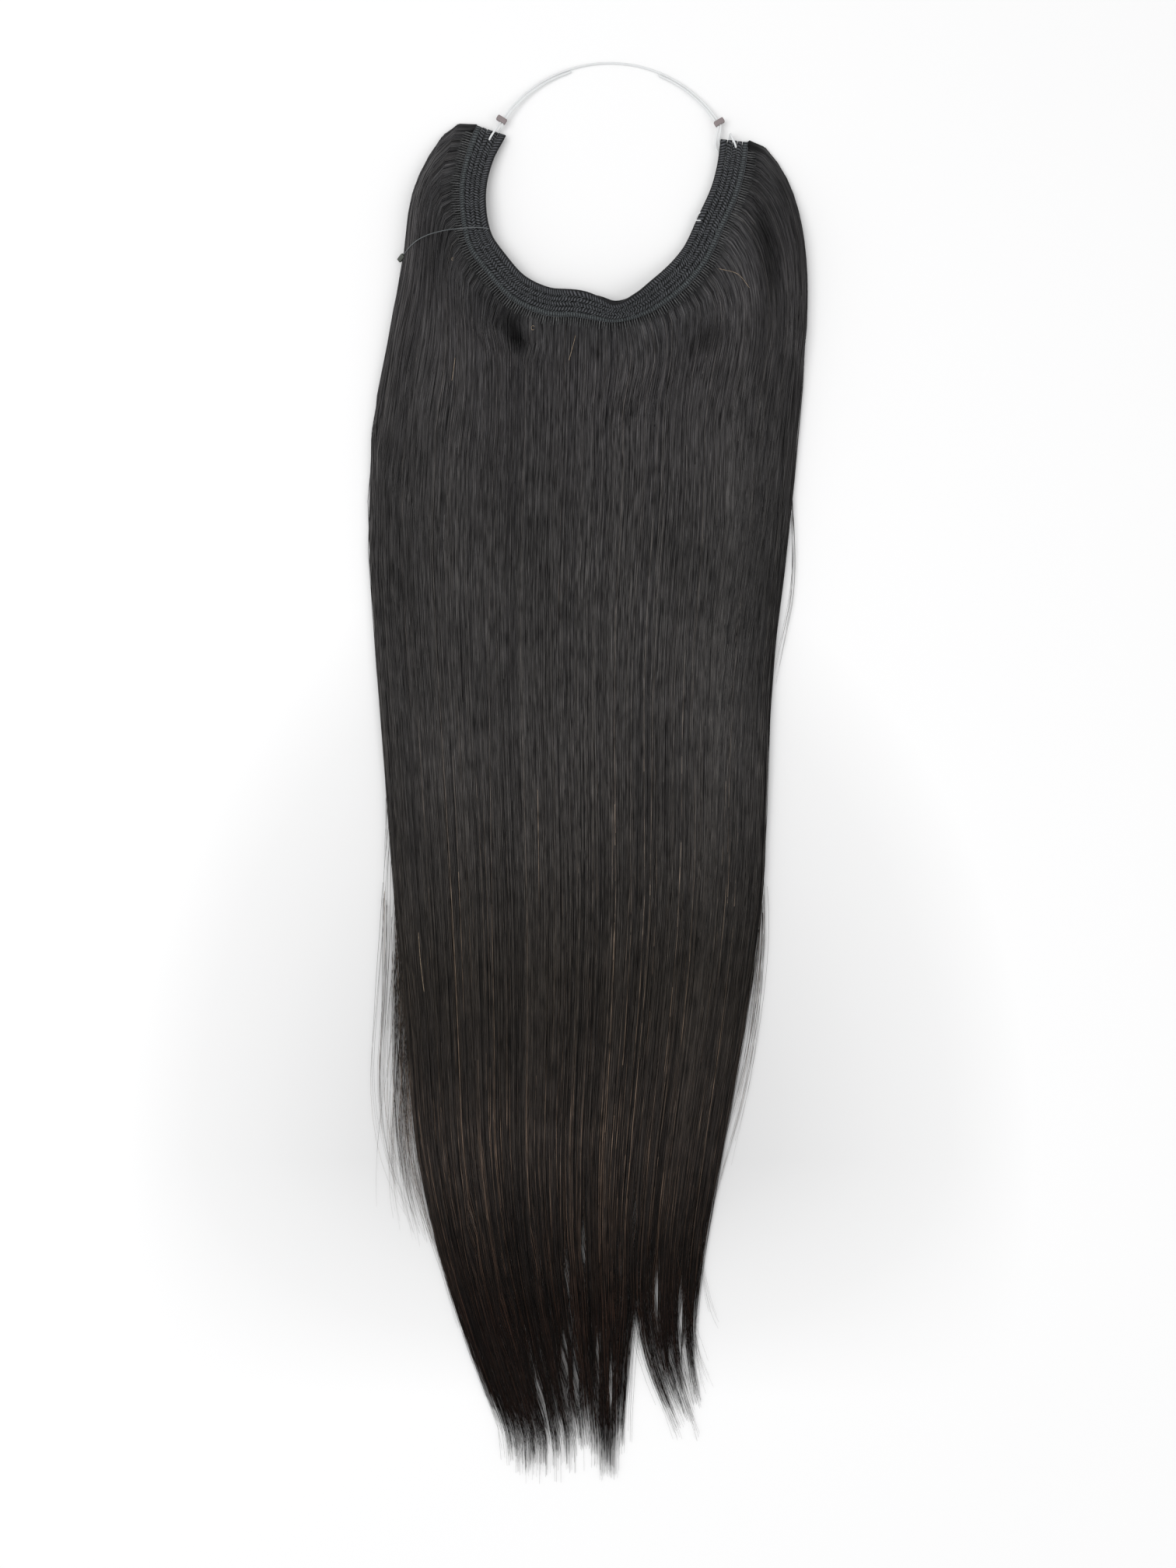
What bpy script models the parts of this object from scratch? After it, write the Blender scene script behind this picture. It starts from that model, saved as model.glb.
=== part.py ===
"""Halo hair extension lying flat on a surface, in metres, with +Z up.

A sewn band of five rows runs in a U from one side of the head to the other. Straight hair comes out
from under its outer row, turns downwards over both flanks and ends in locks. A clear wire closes the
U to a ring: it loops through each end of the band and is held by a crimp. +X is the right side and
+Y the side of the wire. The origin is the middle of the head opening, on the surface the hair lies on.
"""

import math

import bmesh
import bpy
import numpy as np
from mathutils import Matrix, Vector

# Clearance between neighbouring pieces
FIT_GAP = 0.0003

# Sewn band
BAND_SPAN = 0.156
BAND_DEPTH = 0.105
BAND_WIDTH = 0.0150
BAND_LIFT = 0.0030
ROW_THICKNESS = 0.0020
ROW_CROWN = 0.0005

# Hair
HAIR_LENGTH = 0.610
HAIR_SPAN = 0.240
HAIR_REACH = 0.680
HAIR_THICKNESS = 0.0125
HAIR_EDGE = 0.0012
EDGE_ROUNDING = 0.016
ROOT_INSET = 0.0012
ROOT_CLEARANCE = 0.0005
LOCKS = 16
LOCK_COLUMNS = 4
LENGTH_ROWS = 28
SPLIT_SHARE = 0.80
TIP_GATHER = 0.86
LOCK_RIDGE = 0.0012
TURN_DROP = 0.085
ROOT_REACH = 0.008
FLANK_CROWDING = 0.05
SPLIT_LOCK = 11
SPLIT_SWEEP = 0.026
SPLIT_START = 0.601
SPLIT_SWEEP_END = 0.652

# Halo wire, its two crimps and the room its loops need under the band
WIRE_DIAMETER = 0.0011
ARC_RADIUS = 0.0689
ARC_CENTRE = (0.0050, -0.0046)
CRIMP_HEIGHT = 0.0042
LEFT_CRIMP_ANGLE = 147.6
RIGHT_CRIMP_ANGLE = 31.1
CRIMP_WIDTH = 0.0056
CRIMP_LENGTH = 0.0030
CRIMP_THICKNESS = 0.0028
CRIMP_ASIDE = 0.0010
CRIMP_EDGE = 0.0006
LOOP_ROOM = 0.0125
HOLE_DIAMETER = 0.0024

# Loose thread and its stop
THREAD_DIAMETER = 0.0005
STOP_LENGTH = 0.0050
STOP_WIDTH = 0.0027
STOP_THICKNESS = 0.0020

# Rows of the band from the opening outwards. Columns: node name, share of the band's width
BAND_ROWS = (
    ("band_fold", 0.268),
    ("band_track_1", 0.174),
    ("band_track_2", 0.174),
    ("band_track_3", 0.174),
    ("band_header", 0.210),
)

# The line along which the hair leaves the band, from the left end round to the right end.
# Columns: across as a share of BAND_SPAN, up as a share of BAND_DEPTH, the band's lean in degrees,
# its width as a share of BAND_WIDTH
ROOT_LINE = (
    (-0.431, 0.280, 0, 1.13),
    (-0.458, 0.160, 8, 1.02),
    (-0.482, 0.008, 15, 1.00),
    (-0.481, -0.160, 25, 1.00),
    (-0.453, -0.352, 24, 1.00),
    (-0.393, -0.474, 30, 1.00),
    (-0.308, -0.612, 27, 1.00),
    (-0.191, -0.690, 28, 1.00),
    (-0.070, -0.702, 31, 1.00),
    (-0.020, -0.714, 34, 1.00),
    (0.042, -0.724, 50, 1.00),
    (0.148, -0.690, 45, 1.00),
    (0.237, -0.620, 24, 1.00),
    (0.361, -0.440, 6, 1.00),
    (0.428, -0.240, 2, 1.00),
    (0.478, -0.070, 0, 1.00),
    (0.501, 0.060, 0, 1.01),
    (0.512, 0.192, 0, 1.00),
)

# Outer edges of the fall of hair. Columns: depth below the origin as a share of HAIR_REACH, left
# edge and right edge as shares of HAIR_SPAN
FALL = (
    (0.080, -0.453, 0.469),
    (0.142, -0.490, 0.464),
    (0.204, -0.518, 0.446),
    (0.278, -0.525, 0.429),
    (0.352, -0.513, 0.401),
    (0.451, -0.492, 0.382),
    (0.562, -0.469, 0.371),
    (0.673, -0.464, 0.320),
    (0.784, -0.434, 0.266),
    (0.859, -0.397, 0.233),
    (0.933, -0.392, 0.215),
    (1.000, -0.400, 0.207),
)

# Thickness of the hair along its length. Columns: share of HAIR_LENGTH, share of HAIR_THICKNESS
BULK = (
    (0.000, 0.22),
    (0.012, 0.30),
    (0.035, 0.64),
    (0.080, 1.00),
    (0.150, 0.92),
    (0.300, 0.66),
    (0.500, 0.50),
    (0.700, 0.40),
    (0.850, 0.30),
    (1.000, 0.12),
)

# Hollows and folds of the hair. Columns: across as a share of HAIR_SPAN, down as a share of
# HAIR_REACH, half length and half width as shares of HAIR_SPAN, turn in degrees, depth as a share
# of HAIR_THICKNESS
HOLLOWS = (
    (-0.190, 0.121, 0.055, 0.026, 60, 0.42),
    (0.236, 0.122, 0.055, 0.035, 70, 0.26),
    (0.385, 0.040, 0.090, 0.020, 105, 0.22),
    (0.060, 0.180, 0.060, 0.016, 35, 0.14),
)

# How much further or less far each lock reaches than HAIR_LENGTH, as shares of it, left to right
LOCK_REACH = (
    -0.012, 0.010, 0.022, 0.026, 0.012, -0.006, 0.008, -0.010,
    0.006, 0.010, -0.008, -0.032, -0.026, -0.012, 0.002, -0.008,
)

# The wire's loop through the left end of the band, from its tail strand in the crimp, under the
# band, up through the band and over it to the arc's strand in the crimp
LEFT_LOOP = (
    (-0.05200, 0.03160, 0.00420),
    (-0.05286, 0.03025, 0.00420),
    (-0.05350, 0.02860, 0.00340),
    (-0.05450, 0.02690, 0.00240),
    (-0.05650, 0.02500, 0.00200),
    (-0.05910, 0.02293, 0.00200),
    (-0.05988, 0.02170, 0.00260),
    (-0.06020, 0.02120, 0.00405),
    (-0.05988, 0.02170, 0.00550),
    (-0.05910, 0.02293, 0.00610),
    (-0.05760, 0.02530, 0.00605),
    (-0.05610, 0.02760, 0.00580),
    (-0.05490, 0.02960, 0.00470),
    (-0.05406, 0.03095, 0.00420),
    (-0.05320, 0.03230, 0.00420),
)
LEFT_HOLE = (-0.06005, 0.02145)

# The loop through the right end, from the arc's strand in the crimp, under the corner, round the
# end, over the band, down through it and back along its inner edge to the tail strand
RIGHT_LOOP = (
    (0.06400, 0.03100, 0.00420),
    (0.06483, 0.02963, 0.00420),
    (0.06500, 0.02720, 0.00400),
    (0.06460, 0.02460, 0.00350),
    (0.06420, 0.02200, 0.00290),
    (0.06470, 0.01970, 0.00230),
    (0.06630, 0.01840, 0.00200),
    (0.06820, 0.01900, 0.00200),
    (0.06930, 0.02100, 0.00200),
    (0.06990, 0.02320, 0.00230),
    (0.07020, 0.02450, 0.00330),
    (0.07030, 0.02460, 0.00470),
    (0.07060, 0.02340, 0.00580),
    (0.07130, 0.02160, 0.00605),
    (0.07250, 0.01920, 0.00600),
    (0.07310, 0.01780, 0.00530),
    (0.07330, 0.01730, 0.00400),
    (0.07300, 0.01660, 0.00270),
    (0.07190, 0.01550, 0.00200),
    (0.06950, 0.01450, 0.00200),
    (0.06600, 0.01450, 0.00200),
    (0.06360, 0.01590, 0.00230),
    (0.06250, 0.01810, 0.00270),
    (0.06240, 0.02080, 0.00320),
    (0.06280, 0.02370, 0.00370),
    (0.06340, 0.02660, 0.00410),
    (0.06363, 0.02893, 0.00420),
    (0.06280, 0.03030, 0.00420),
)
RIGHT_HOLE = (0.07325, 0.01735)

# Angles of the arc, and of the tails inside it, at which the wire's route is set, in degrees
ARC_ANGLES = (146.2, 138, 126, 114, 102, 90, 78, 66, 54, 42, 32.3)
LEFT_TAIL_ANGLES = (108, 117, 127, 137, 146.2)
RIGHT_TAIL_ANGLES = (32.3, 41, 50, 59, 67)

# Route of the loose thread, from the inner edge of the band over the rows and the hair
THREAD_ROUTE = (
    (-0.05985, -0.02830, 0.01120),
    (-0.06350, -0.02760, 0.01080),
    (-0.06680, -0.02720, 0.00980),
    (-0.07000, -0.02700, 0.00880),
    (-0.07280, -0.02700, 0.00780),
    (-0.07600, -0.02715, 0.00720),
    (-0.07920, -0.02750, 0.00760),
    (-0.08460, -0.02890, 0.00980),
    (-0.08800, -0.03020, 0.01160),
    (-0.09160, -0.03170, 0.01340),
    (-0.09400, -0.03280, 0.01390),
    (-0.09660, -0.03410, 0.01400),
    (-0.09900, -0.03560, 0.01380),
    (-0.10150, -0.03740, 0.01270),
    (-0.10300, -0.03845, 0.01090),
    (-0.10450, -0.03960, 0.00870),
    (-0.10620, -0.04110, 0.00670),
)

# Colours as linear values, with roughness
SLATE_COTTON = ((0.030, 0.034, 0.040), 0.85)
DARK_HAIR = ((0.034, 0.032, 0.031), 0.50)
CLEAR_NYLON = ((0.80, 0.82, 0.84), 0.15)
CRIMP_METAL = ((0.20, 0.17, 0.17), 0.45)
STOP_PLASTIC = ((0.10, 0.11, 0.09), 0.50)


def smooth(knots, values, at):
    """Cubic pieces through the values at the knots; each knot's slope joins its two neighbours."""
    knots = np.asarray(knots, float)
    values = np.asarray(values, float)
    at = np.clip(np.asarray(at, float), knots[0], knots[-1])
    flat = values.reshape(len(knots), -1)
    slopes = np.gradient(flat, knots, axis=0)
    part = np.clip(np.searchsorted(knots, at, side="right") - 1, 0, len(knots) - 2)
    step = knots[part + 1] - knots[part]
    u = ((at - knots[part]) / step)[..., None]
    step = step[..., None]
    start = flat[part] * (1 + 2 * u) * (1 - u) ** 2 + slopes[part] * step * u * (1 - u) ** 2
    end = flat[part + 1] * (3 - 2 * u) * u**2 - slopes[part + 1] * step * (1 - u) * u**2
    return (start + end).reshape(at.shape + values.shape[1:])


def lengths(points):
    """Distance run along a line of points, up to each of them."""
    steps = np.linalg.norm(np.diff(points, axis=0), axis=1)
    return np.concatenate([[0.0], np.cumsum(steps)])


def smooth_route(points, steps):
    """A smooth line through the points of a route, with this many steps between each two."""
    points = np.array(points)
    knots = lengths(points)
    at = np.concatenate(
        [np.linspace(a, b, steps, endpoint=False) for a, b in zip(knots[:-1], knots[1:])]
        + [knots[-1:]]
    )
    return smooth(knots, points, at)


def root_frames(shares):
    """At shares of the root line's length: its point and outward direction in plan, the direction
    in which the hair is combed out, the band's lean and its width."""
    rows = np.array(ROOT_LINE)
    corners = rows[:, :2] * (BAND_SPAN, BAND_DEPTH)
    knots = lengths(corners)
    fine = np.linspace(0, knots[-1], 600)
    line = smooth(knots, corners, fine)
    run = lengths(line)
    at = np.interp(shares, run / run[-1], fine)
    tangent = np.gradient(line, axis=0)
    tangent /= np.linalg.norm(tangent, axis=1)[:, None]
    outward = np.column_stack([tangent[:, 1], -tangent[:, 0]])
    window = np.hanning(161)
    padded = np.pad(outward, ((80, 80), (0, 0)), mode="edge")
    combed = np.column_stack([np.convolve(padded[:, i], window, "valid") for i in (0, 1)])
    combed /= np.linalg.norm(combed, axis=1)[:, None]
    pick = [np.interp(at, fine, values) for values in (*line.T, *outward.T, *combed.T)]
    lean = np.radians(smooth(knots, rows[:, 2], at))
    width = smooth(knots, rows[:, 3], at) * BAND_WIDTH
    point, out, comb = (np.stack(pick[i : i + 2], axis=-1) for i in (0, 2, 4))
    return point, out, comb, lean, width, run[-1]


def band_points(shares, across, height):
    """Points of the band: across is the distance from its outer edge, height the one above its
    underside. The band leans up towards the opening."""
    point, out, _, lean, width, _ = root_frames(shares)
    across = across * width / BAND_WIDTH
    inwards = across * np.cos(lean) - height * np.sin(lean)
    plan = point - out * inwards[:, None]
    level = BAND_LIFT + across * np.sin(lean) + height * np.cos(lean)
    return np.column_stack([plan, level])


def fall_edges(depth):
    """Left and right edge of the fall of hair at a depth below the origin."""
    rows = np.array(FALL)
    edges = smooth(rows[:, 0] * HAIR_REACH, rows[:, 1:] * HAIR_SPAN, depth)
    return edges[..., 0], edges[..., 1]


def place_in_fall(share, depth, split):
    """Where a strand runs at a depth: its share of the way from the left edge to the right one,
    crowded towards the flanks, with the split lock swept aside near its end."""
    left, right = fall_edges(depth)
    crowded = share - FLANK_CROWDING * np.sin(2 * np.pi * share)
    sweep = np.clip((depth - SPLIT_START) / (SPLIT_SWEEP_END - SPLIT_START), 0, None)
    return left + crowded * (right - left) + split * SPLIT_SWEEP * sweep**2


def strand(root_share, distances, split):
    """Plan of one strand at distances from its root. It leaves the band as it was combed, turns
    down along a Bezier curve, and then follows the fall of the hair."""
    point, _, comb, _, _, _ = root_frames(np.array([root_share]))
    start, comb = point[0], comb[0]
    join = TURN_DROP - start[1]
    goal = np.array([place_in_fall(root_share, join, split), -join])
    below = np.array([place_in_fall(root_share, join + ROOT_REACH, split), -join - ROOT_REACH])
    down = (below - goal) / np.linalg.norm(below - goal)
    reach = ROOT_REACH + 0.46 * abs(goal[0] - start[0])
    pull = TURN_DROP / 2
    t = np.linspace(0, 1, 40)[:, None]
    curve = (
        start * (1 - t) ** 3
        + 3 * (start + comb * reach) * t * (1 - t) ** 2
        + 3 * (goal - down * pull) * t**2 * (1 - t)
        + goal * t**3
    )
    depths = np.linspace(join, join + HAIR_LENGTH, 120)[1:]
    fall = np.column_stack([place_in_fall(root_share, depths, split), -depths])
    line = np.vstack([curve, fall])
    run = lengths(line)
    return np.column_stack([np.interp(distances, run, line[:, axis]) for axis in (0, 1)])


def bulk_at(plan, along, edge_distance):
    """Height of the hair's upper side: its bulk along the length, more over the flanks, rounded
    off at the two outer edges and lowered by the hollows."""
    rows = np.array(BULK)
    left, right = fall_edges(-plan[:, 1])
    flank = np.clip(np.abs(2 * (plan[:, 0] - left) / (right - left) - 1), 0, 1)
    height = HAIR_THICKNESS * smooth(rows[:, 0], rows[:, 1], along) * (0.86 + 0.22 * flank**2)
    for across, down, half_length, half_width, turn, depth in HOLLOWS:
        offset = plan - np.array([across * HAIR_SPAN, -down * HAIR_REACH])
        angle = math.radians(turn)
        along_axis = offset @ np.array([math.cos(angle), math.sin(angle)])
        across_axis = offset @ np.array([-math.sin(angle), math.cos(angle)])
        near = (along_axis / half_length) ** 2 + (across_axis / half_width) ** 2
        height -= depth * HAIR_THICKNESS * np.exp(-near / HAIR_SPAN**2)
    rounding = np.clip(1 - edge_distance / EDGE_ROUNDING, 0, 1)
    return HAIR_EDGE + (height - HAIR_EDGE) * np.sqrt(1 - rounding**2)


def new_object(name, mesh, finish, collection):
    """An object with its own Principled material, in this collection."""
    obj = bpy.data.objects.new(name, mesh)
    material = bpy.data.materials.new(name + "_finish")
    material.use_nodes = True
    shader = material.node_tree.nodes["Principled BSDF"]
    colour, roughness = finish
    shader.inputs["Base Color"].default_value = (*colour, 1)
    shader.inputs["Roughness"].default_value = roughness
    shader.inputs["Metallic"].default_value = 0
    material.diffuse_color = (*colour, 1)
    mesh.materials.append(material)
    collection.objects.link(obj)
    return obj


def loft(name, rings):
    """A closed mesh through rings of points, with a flat face at each end."""
    stations, sides, _ = rings.shape
    bm = bmesh.new()
    verts = [[bm.verts.new(point) for point in ring] for ring in rings]
    for a, b in zip(verts[:-1], verts[1:]):
        for i in range(sides):
            j = (i + 1) % sides
            bm.faces.new((a[i], a[j], b[j], b[i]))
    bm.faces.new(verts[0][::-1])
    bm.faces.new(verts[-1])
    bmesh.ops.recalc_face_normals(bm, faces=bm.faces)
    mesh = bpy.data.meshes.new(name)
    bm.to_mesh(mesh)
    bm.free()
    mesh.shade_smooth()
    mesh.set_sharp_from_angle(angle=math.radians(40))
    return mesh


def build_band(parts, cutters):
    """The five sewn rows side by side, each a strip with a crowned face."""
    gaps = FIT_GAP * (len(BAND_ROWS) - 1)
    shares = np.linspace(0, 1, LOCKS * LOCK_COLUMNS + 1)
    outer = BAND_WIDTH
    rows = []
    for name, share in BAND_ROWS:
        inner = outer
        outer = inner - share * (BAND_WIDTH - gaps)
        middle = (inner + outer) / 2
        half = (inner - outer) / 2
        shoulder = ROW_THICKNESS - ROW_CROWN
        section = (
            (outer, 0),
            (outer, shoulder),
            (middle - half / 2, ROW_THICKNESS),
            (middle + half / 2, ROW_THICKNESS),
            (inner, shoulder),
            (inner, 0),
        )
        rings = np.stack([band_points(shares, across, height) for across, height in section], axis=1)
        rows.append(new_object(name, loft(name, rings), SLATE_COTTON, parts))
        outer -= FIT_GAP
    for side, hole in (("left", LEFT_HOLE), ("right", RIGHT_HOLE)):
        cutter = hole_cutter(side + "_hole_cutter", hole, cutters)
        for row in rows[1:4]:
            if touches(row, hole):
                cut = row.modifiers.new(side + "_hole", "BOOLEAN")
                cut.operation = "DIFFERENCE"
                cut.object = cutter


def touches(row, hole):
    """Whether the hole at this place in plan cuts into the row."""
    near = [math.dist((v.co.x, v.co.y), hole) for v in row.data.vertices]
    return min(near) < BAND_WIDTH / 4


def hole_cutter(name, place, cutters):
    """A round upright cutter for the hole that the wire goes through."""
    mesh = bpy.data.meshes.new(name)
    bm = bmesh.new()
    bmesh.ops.create_cone(
        bm,
        cap_ends=True,
        segments=12,
        radius1=HOLE_DIAMETER / 2,
        radius2=HOLE_DIAMETER / 2,
        depth=BAND_WIDTH,
        matrix=Matrix.Translation((*place, BAND_LIFT)),
    )
    bm.to_mesh(mesh)
    bm.free()
    cutter = bpy.data.objects.new(name, mesh)
    cutter.hide_render = True
    cutter.display_type = "WIRE"
    cutters.objects.link(cutter)
    return cutter


def lock_columns(lock):
    """The lines of one lock's upper side, from the inner edge of the band to the tip."""
    root_length = root_frames(np.array([0.5]))[5]
    along = (np.arange(LENGTH_ROWS + 1) / LENGTH_ROWS) ** 1.6
    loose = np.clip((along - SPLIT_SHARE) / (1 - SPLIT_SHARE), 0, 1)
    distances = HAIR_LENGTH * (along + LOCK_REACH[lock] * loose)
    split = 1.0 if lock >= SPLIT_LOCK else 0.0
    middle = strand((lock + 0.5) / LOCKS, distances, split)
    gathered = TIP_GATHER * loose[:, None] ** 2
    for column in range(LOCK_COLUMNS + 1):
        within = column / LOCK_COLUMNS
        share = (lock + within) / LOCKS
        plan = strand(share, distances, split)
        plan += (middle - plan) * gathered
        edge_share = min(share, 1 - share)
        edge_distance = edge_share * HAIR_SPAN * (0.7 + 0.3 * np.clip(along / 0.1, 0, 1))
        ridge = LOCK_RIDGE * (math.sin(math.pi * within) ** 2 - 0.5) * np.clip(along / 0.08, 0, 1)
        height = bulk_at(plan, along, edge_distance)
        top = np.column_stack([plan, np.maximum(height + ridge * height / HAIR_THICKNESS, HAIR_EDGE)])
        end_distance = edge_share * root_length
        yield np.vstack([under_band(share, end_distance), top[1:]])


def under_band(share, end_distance):
    """The hair's points under the band: near its inner edge, or beside the wire's loop at the ends,
    halfway, and at its outer edge."""
    header = BAND_ROWS[-1][1] * BAND_WIDTH
    inner = BAND_WIDTH - ROOT_INSET if end_distance > LOOP_ROOM else header
    at = np.array([share])
    places = [band_points(at, across, -ROOT_CLEARANCE) for across in (inner, inner / 2, 0)]
    return np.vstack(places)


def build_hair(parts):
    """The hair as one body: an upper side of locks side by side, split towards their tips, whose
    rim is dropped to the surface and closed by one flat face."""
    bm = bmesh.new()
    for lock in range(LOCKS):
        columns = [[bm.verts.new(point) for point in column] for column in lock_columns(lock)]
        for a, b in zip(columns[:-1], columns[1:]):
            for i in range(len(a) - 1):
                bm.faces.new((a[i], a[i + 1], b[i + 1], b[i]))
    bmesh.ops.remove_doubles(bm, verts=bm.verts, dist=1e-6)
    rim = [edge for edge in bm.edges if edge.is_boundary]
    dropped = bmesh.ops.extrude_edge_only(bm, edges=rim)["geom"]
    for vert in dropped:
        if isinstance(vert, bmesh.types.BMVert):
            vert.co.z = 0
    floor_edges = [e for e in dropped if isinstance(e, bmesh.types.BMEdge) and e.is_boundary]
    bmesh.ops.contextual_create(bm, geom=floor_edges)
    bmesh.ops.recalc_face_normals(bm, faces=bm.faces)
    mesh = bpy.data.meshes.new("hair")
    bm.to_mesh(mesh)
    bm.free()
    mesh.shade_smooth()
    mesh.set_sharp_from_angle(angle=math.radians(50))
    new_object("hair", mesh, DARK_HAIR, parts)


def arc_point(angle, radius):
    """A point of the wire's arc. The wire sinks from the crimps to lie on the surface."""
    turn = math.radians(angle)
    farthest = max(abs(LEFT_CRIMP_ANGLE - 90), abs(RIGHT_CRIMP_ANGLE - 90))
    rise = min(1.0, (abs(angle - 90) / (farthest - 3)) ** 2)
    x = ARC_CENTRE[0] + radius * math.cos(turn)
    y = ARC_CENTRE[1] + radius * math.sin(turn)
    return (x, y, WIRE_DIAMETER / 2 + rise * (CRIMP_HEIGHT - WIRE_DIAMETER / 2))


def wire_route():
    """The wire's route from the end of its left tail to the end of its right one."""
    tail_radius = ARC_RADIUS - WIRE_DIAMETER - FIT_GAP
    left_tail = [arc_point(angle, tail_radius) for angle in LEFT_TAIL_ANGLES]
    arc = [arc_point(angle, ARC_RADIUS) for angle in ARC_ANGLES]
    right_tail = [arc_point(angle, tail_radius) for angle in RIGHT_TAIL_ANGLES]
    return [*left_tail, *LEFT_LOOP, *arc, *RIGHT_LOOP, *right_tail]


def build_tube(name, points, diameter, finish, parts):
    """A round tube with filled ends along a line of points."""
    curve = bpy.data.curves.new(name, "CURVE")
    curve.dimensions = "3D"
    curve.bevel_depth = diameter / 2
    curve.bevel_resolution = 2
    curve.use_fill_caps = True
    spline = curve.splines.new("POLY")
    spline.points.add(len(points) - 1)
    for point, place in zip(spline.points, points):
        point.co = (*place, 1)
    return new_object(name, curve, finish, parts)


def crimp_frame(angle):
    """Where a crimp sits on the arc: its middle, the direction along the wire and the one out."""
    turn = math.radians(angle)
    out = Vector((math.cos(turn), math.sin(turn), 0))
    along = Vector((-math.sin(turn), math.cos(turn), 0))
    middle_radius = ARC_RADIUS - (WIRE_DIAMETER + FIT_GAP) / 2
    middle = Vector((*ARC_CENTRE, CRIMP_HEIGHT)) + out * middle_radius
    return middle, along, out


def build_crimp(name, angle, parts, cutters):
    """A flattened sleeve round two strands of the wire, standing out on the outer side."""
    middle, along, out = crimp_frame(angle)
    turned = Matrix((out, along, Vector((0, 0, 1)))).transposed().to_4x4()
    size = Matrix.Diagonal((CRIMP_WIDTH, CRIMP_LENGTH, CRIMP_THICKNESS, 1))
    bm = bmesh.new()
    bmesh.ops.create_cube(bm, size=1, matrix=size)
    mesh = bpy.data.meshes.new(name)
    bm.to_mesh(mesh)
    bm.free()
    crimp = new_object(name, mesh, CRIMP_METAL, parts)
    crimp.matrix_world = Matrix.Translation(middle + out * CRIMP_ASIDE) @ turned
    rounding = crimp.modifiers.new("rounded_edges", "BEVEL")
    rounding.width = CRIMP_EDGE
    rounding.segments = 3
    opening = bpy.data.meshes.new(name + "_cutter")
    clear = WIRE_DIAMETER / 2 + FIT_GAP
    aside = (WIRE_DIAMETER + FIT_GAP) / 2
    outline = [
        (side * aside + clear * math.sin(turn), CRIMP_LENGTH, clear * math.cos(turn))
        for side, first in ((1, 0), (-1, math.pi))
        for turn in np.linspace(first, first + math.pi, 7)
    ]
    bm = bmesh.new()
    face = bm.faces.new([bm.verts.new(point) for point in outline])
    grown = bmesh.ops.extrude_face_region(bm, geom=[face])["geom"]
    moved = [v for v in grown if isinstance(v, bmesh.types.BMVert)]
    bmesh.ops.translate(bm, verts=moved, vec=(0, -2 * CRIMP_LENGTH, 0))
    bmesh.ops.recalc_face_normals(bm, faces=bm.faces)
    bm.to_mesh(opening)
    bm.free()
    cutter = bpy.data.objects.new(name + "_cutter", opening)
    cutter.matrix_world = Matrix.Translation(middle) @ turned
    cutter.hide_render = True
    cutter.display_type = "WIRE"
    cutters.objects.link(cutter)
    cut = crimp.modifiers.new("strand_opening", "BOOLEAN")
    cut.operation = "DIFFERENCE"
    cut.object = cutter


def build_thread_stop(parts):
    """The small bar at the end of the loose thread."""
    end = Vector(THREAD_ROUTE[-1])
    heading = (end - Vector(THREAD_ROUTE[-3])).normalized()
    across = Vector((0, 0, 1)).cross(heading).normalized()
    turned = Matrix((heading, across, heading.cross(across))).transposed().to_4x4()
    size = Matrix.Diagonal((STOP_LENGTH, STOP_WIDTH, STOP_THICKNESS, 1))
    bm = bmesh.new()
    bmesh.ops.create_cube(bm, size=1, matrix=size)
    mesh = bpy.data.meshes.new("thread_stop")
    bm.to_mesh(mesh)
    bm.free()
    stop = new_object("thread_stop", mesh, STOP_PLASTIC, parts)
    middle = end + heading * (STOP_LENGTH / 2 + FIT_GAP)
    stop.matrix_world = Matrix.Translation(middle) @ turned
    rounding = stop.modifiers.new("rounded_edges", "BEVEL")
    rounding.width = STOP_THICKNESS / 3
    rounding.segments = 3


def main():
    for obj in list(bpy.data.objects):
        bpy.data.objects.remove(obj)
    parts = bpy.data.collections.new("halo_hair_extension")
    cutters = bpy.data.collections.new("cutters")
    bpy.context.scene.collection.children.link(parts)
    bpy.context.scene.collection.children.link(cutters)
    build_band(parts, cutters)
    build_hair(parts)
    build_tube("halo_wire", smooth_route(wire_route(), 1), WIRE_DIAMETER, CLEAR_NYLON, parts)
    build_crimp("crimp_left", LEFT_CRIMP_ANGLE, parts, cutters)
    build_crimp("crimp_right", RIGHT_CRIMP_ANGLE, parts, cutters)
    build_tube("loose_thread", smooth_route(THREAD_ROUTE, 2), THREAD_DIAMETER, CLEAR_NYLON, parts)
    build_thread_stop(parts)


main()
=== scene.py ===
# %% [markdown]
# # A halo hair extension, lying flat
#
# The real thing is a sewn band bent to a U, with long straight hair hanging from its outer row and a
# clear wire that closes the U to a ring. It lies on a pale table and is seen from straight above.
# Everything is in metres. The frame holds the plain solids; this lesson dresses them one by one.

# %% The frame
import math

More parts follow.
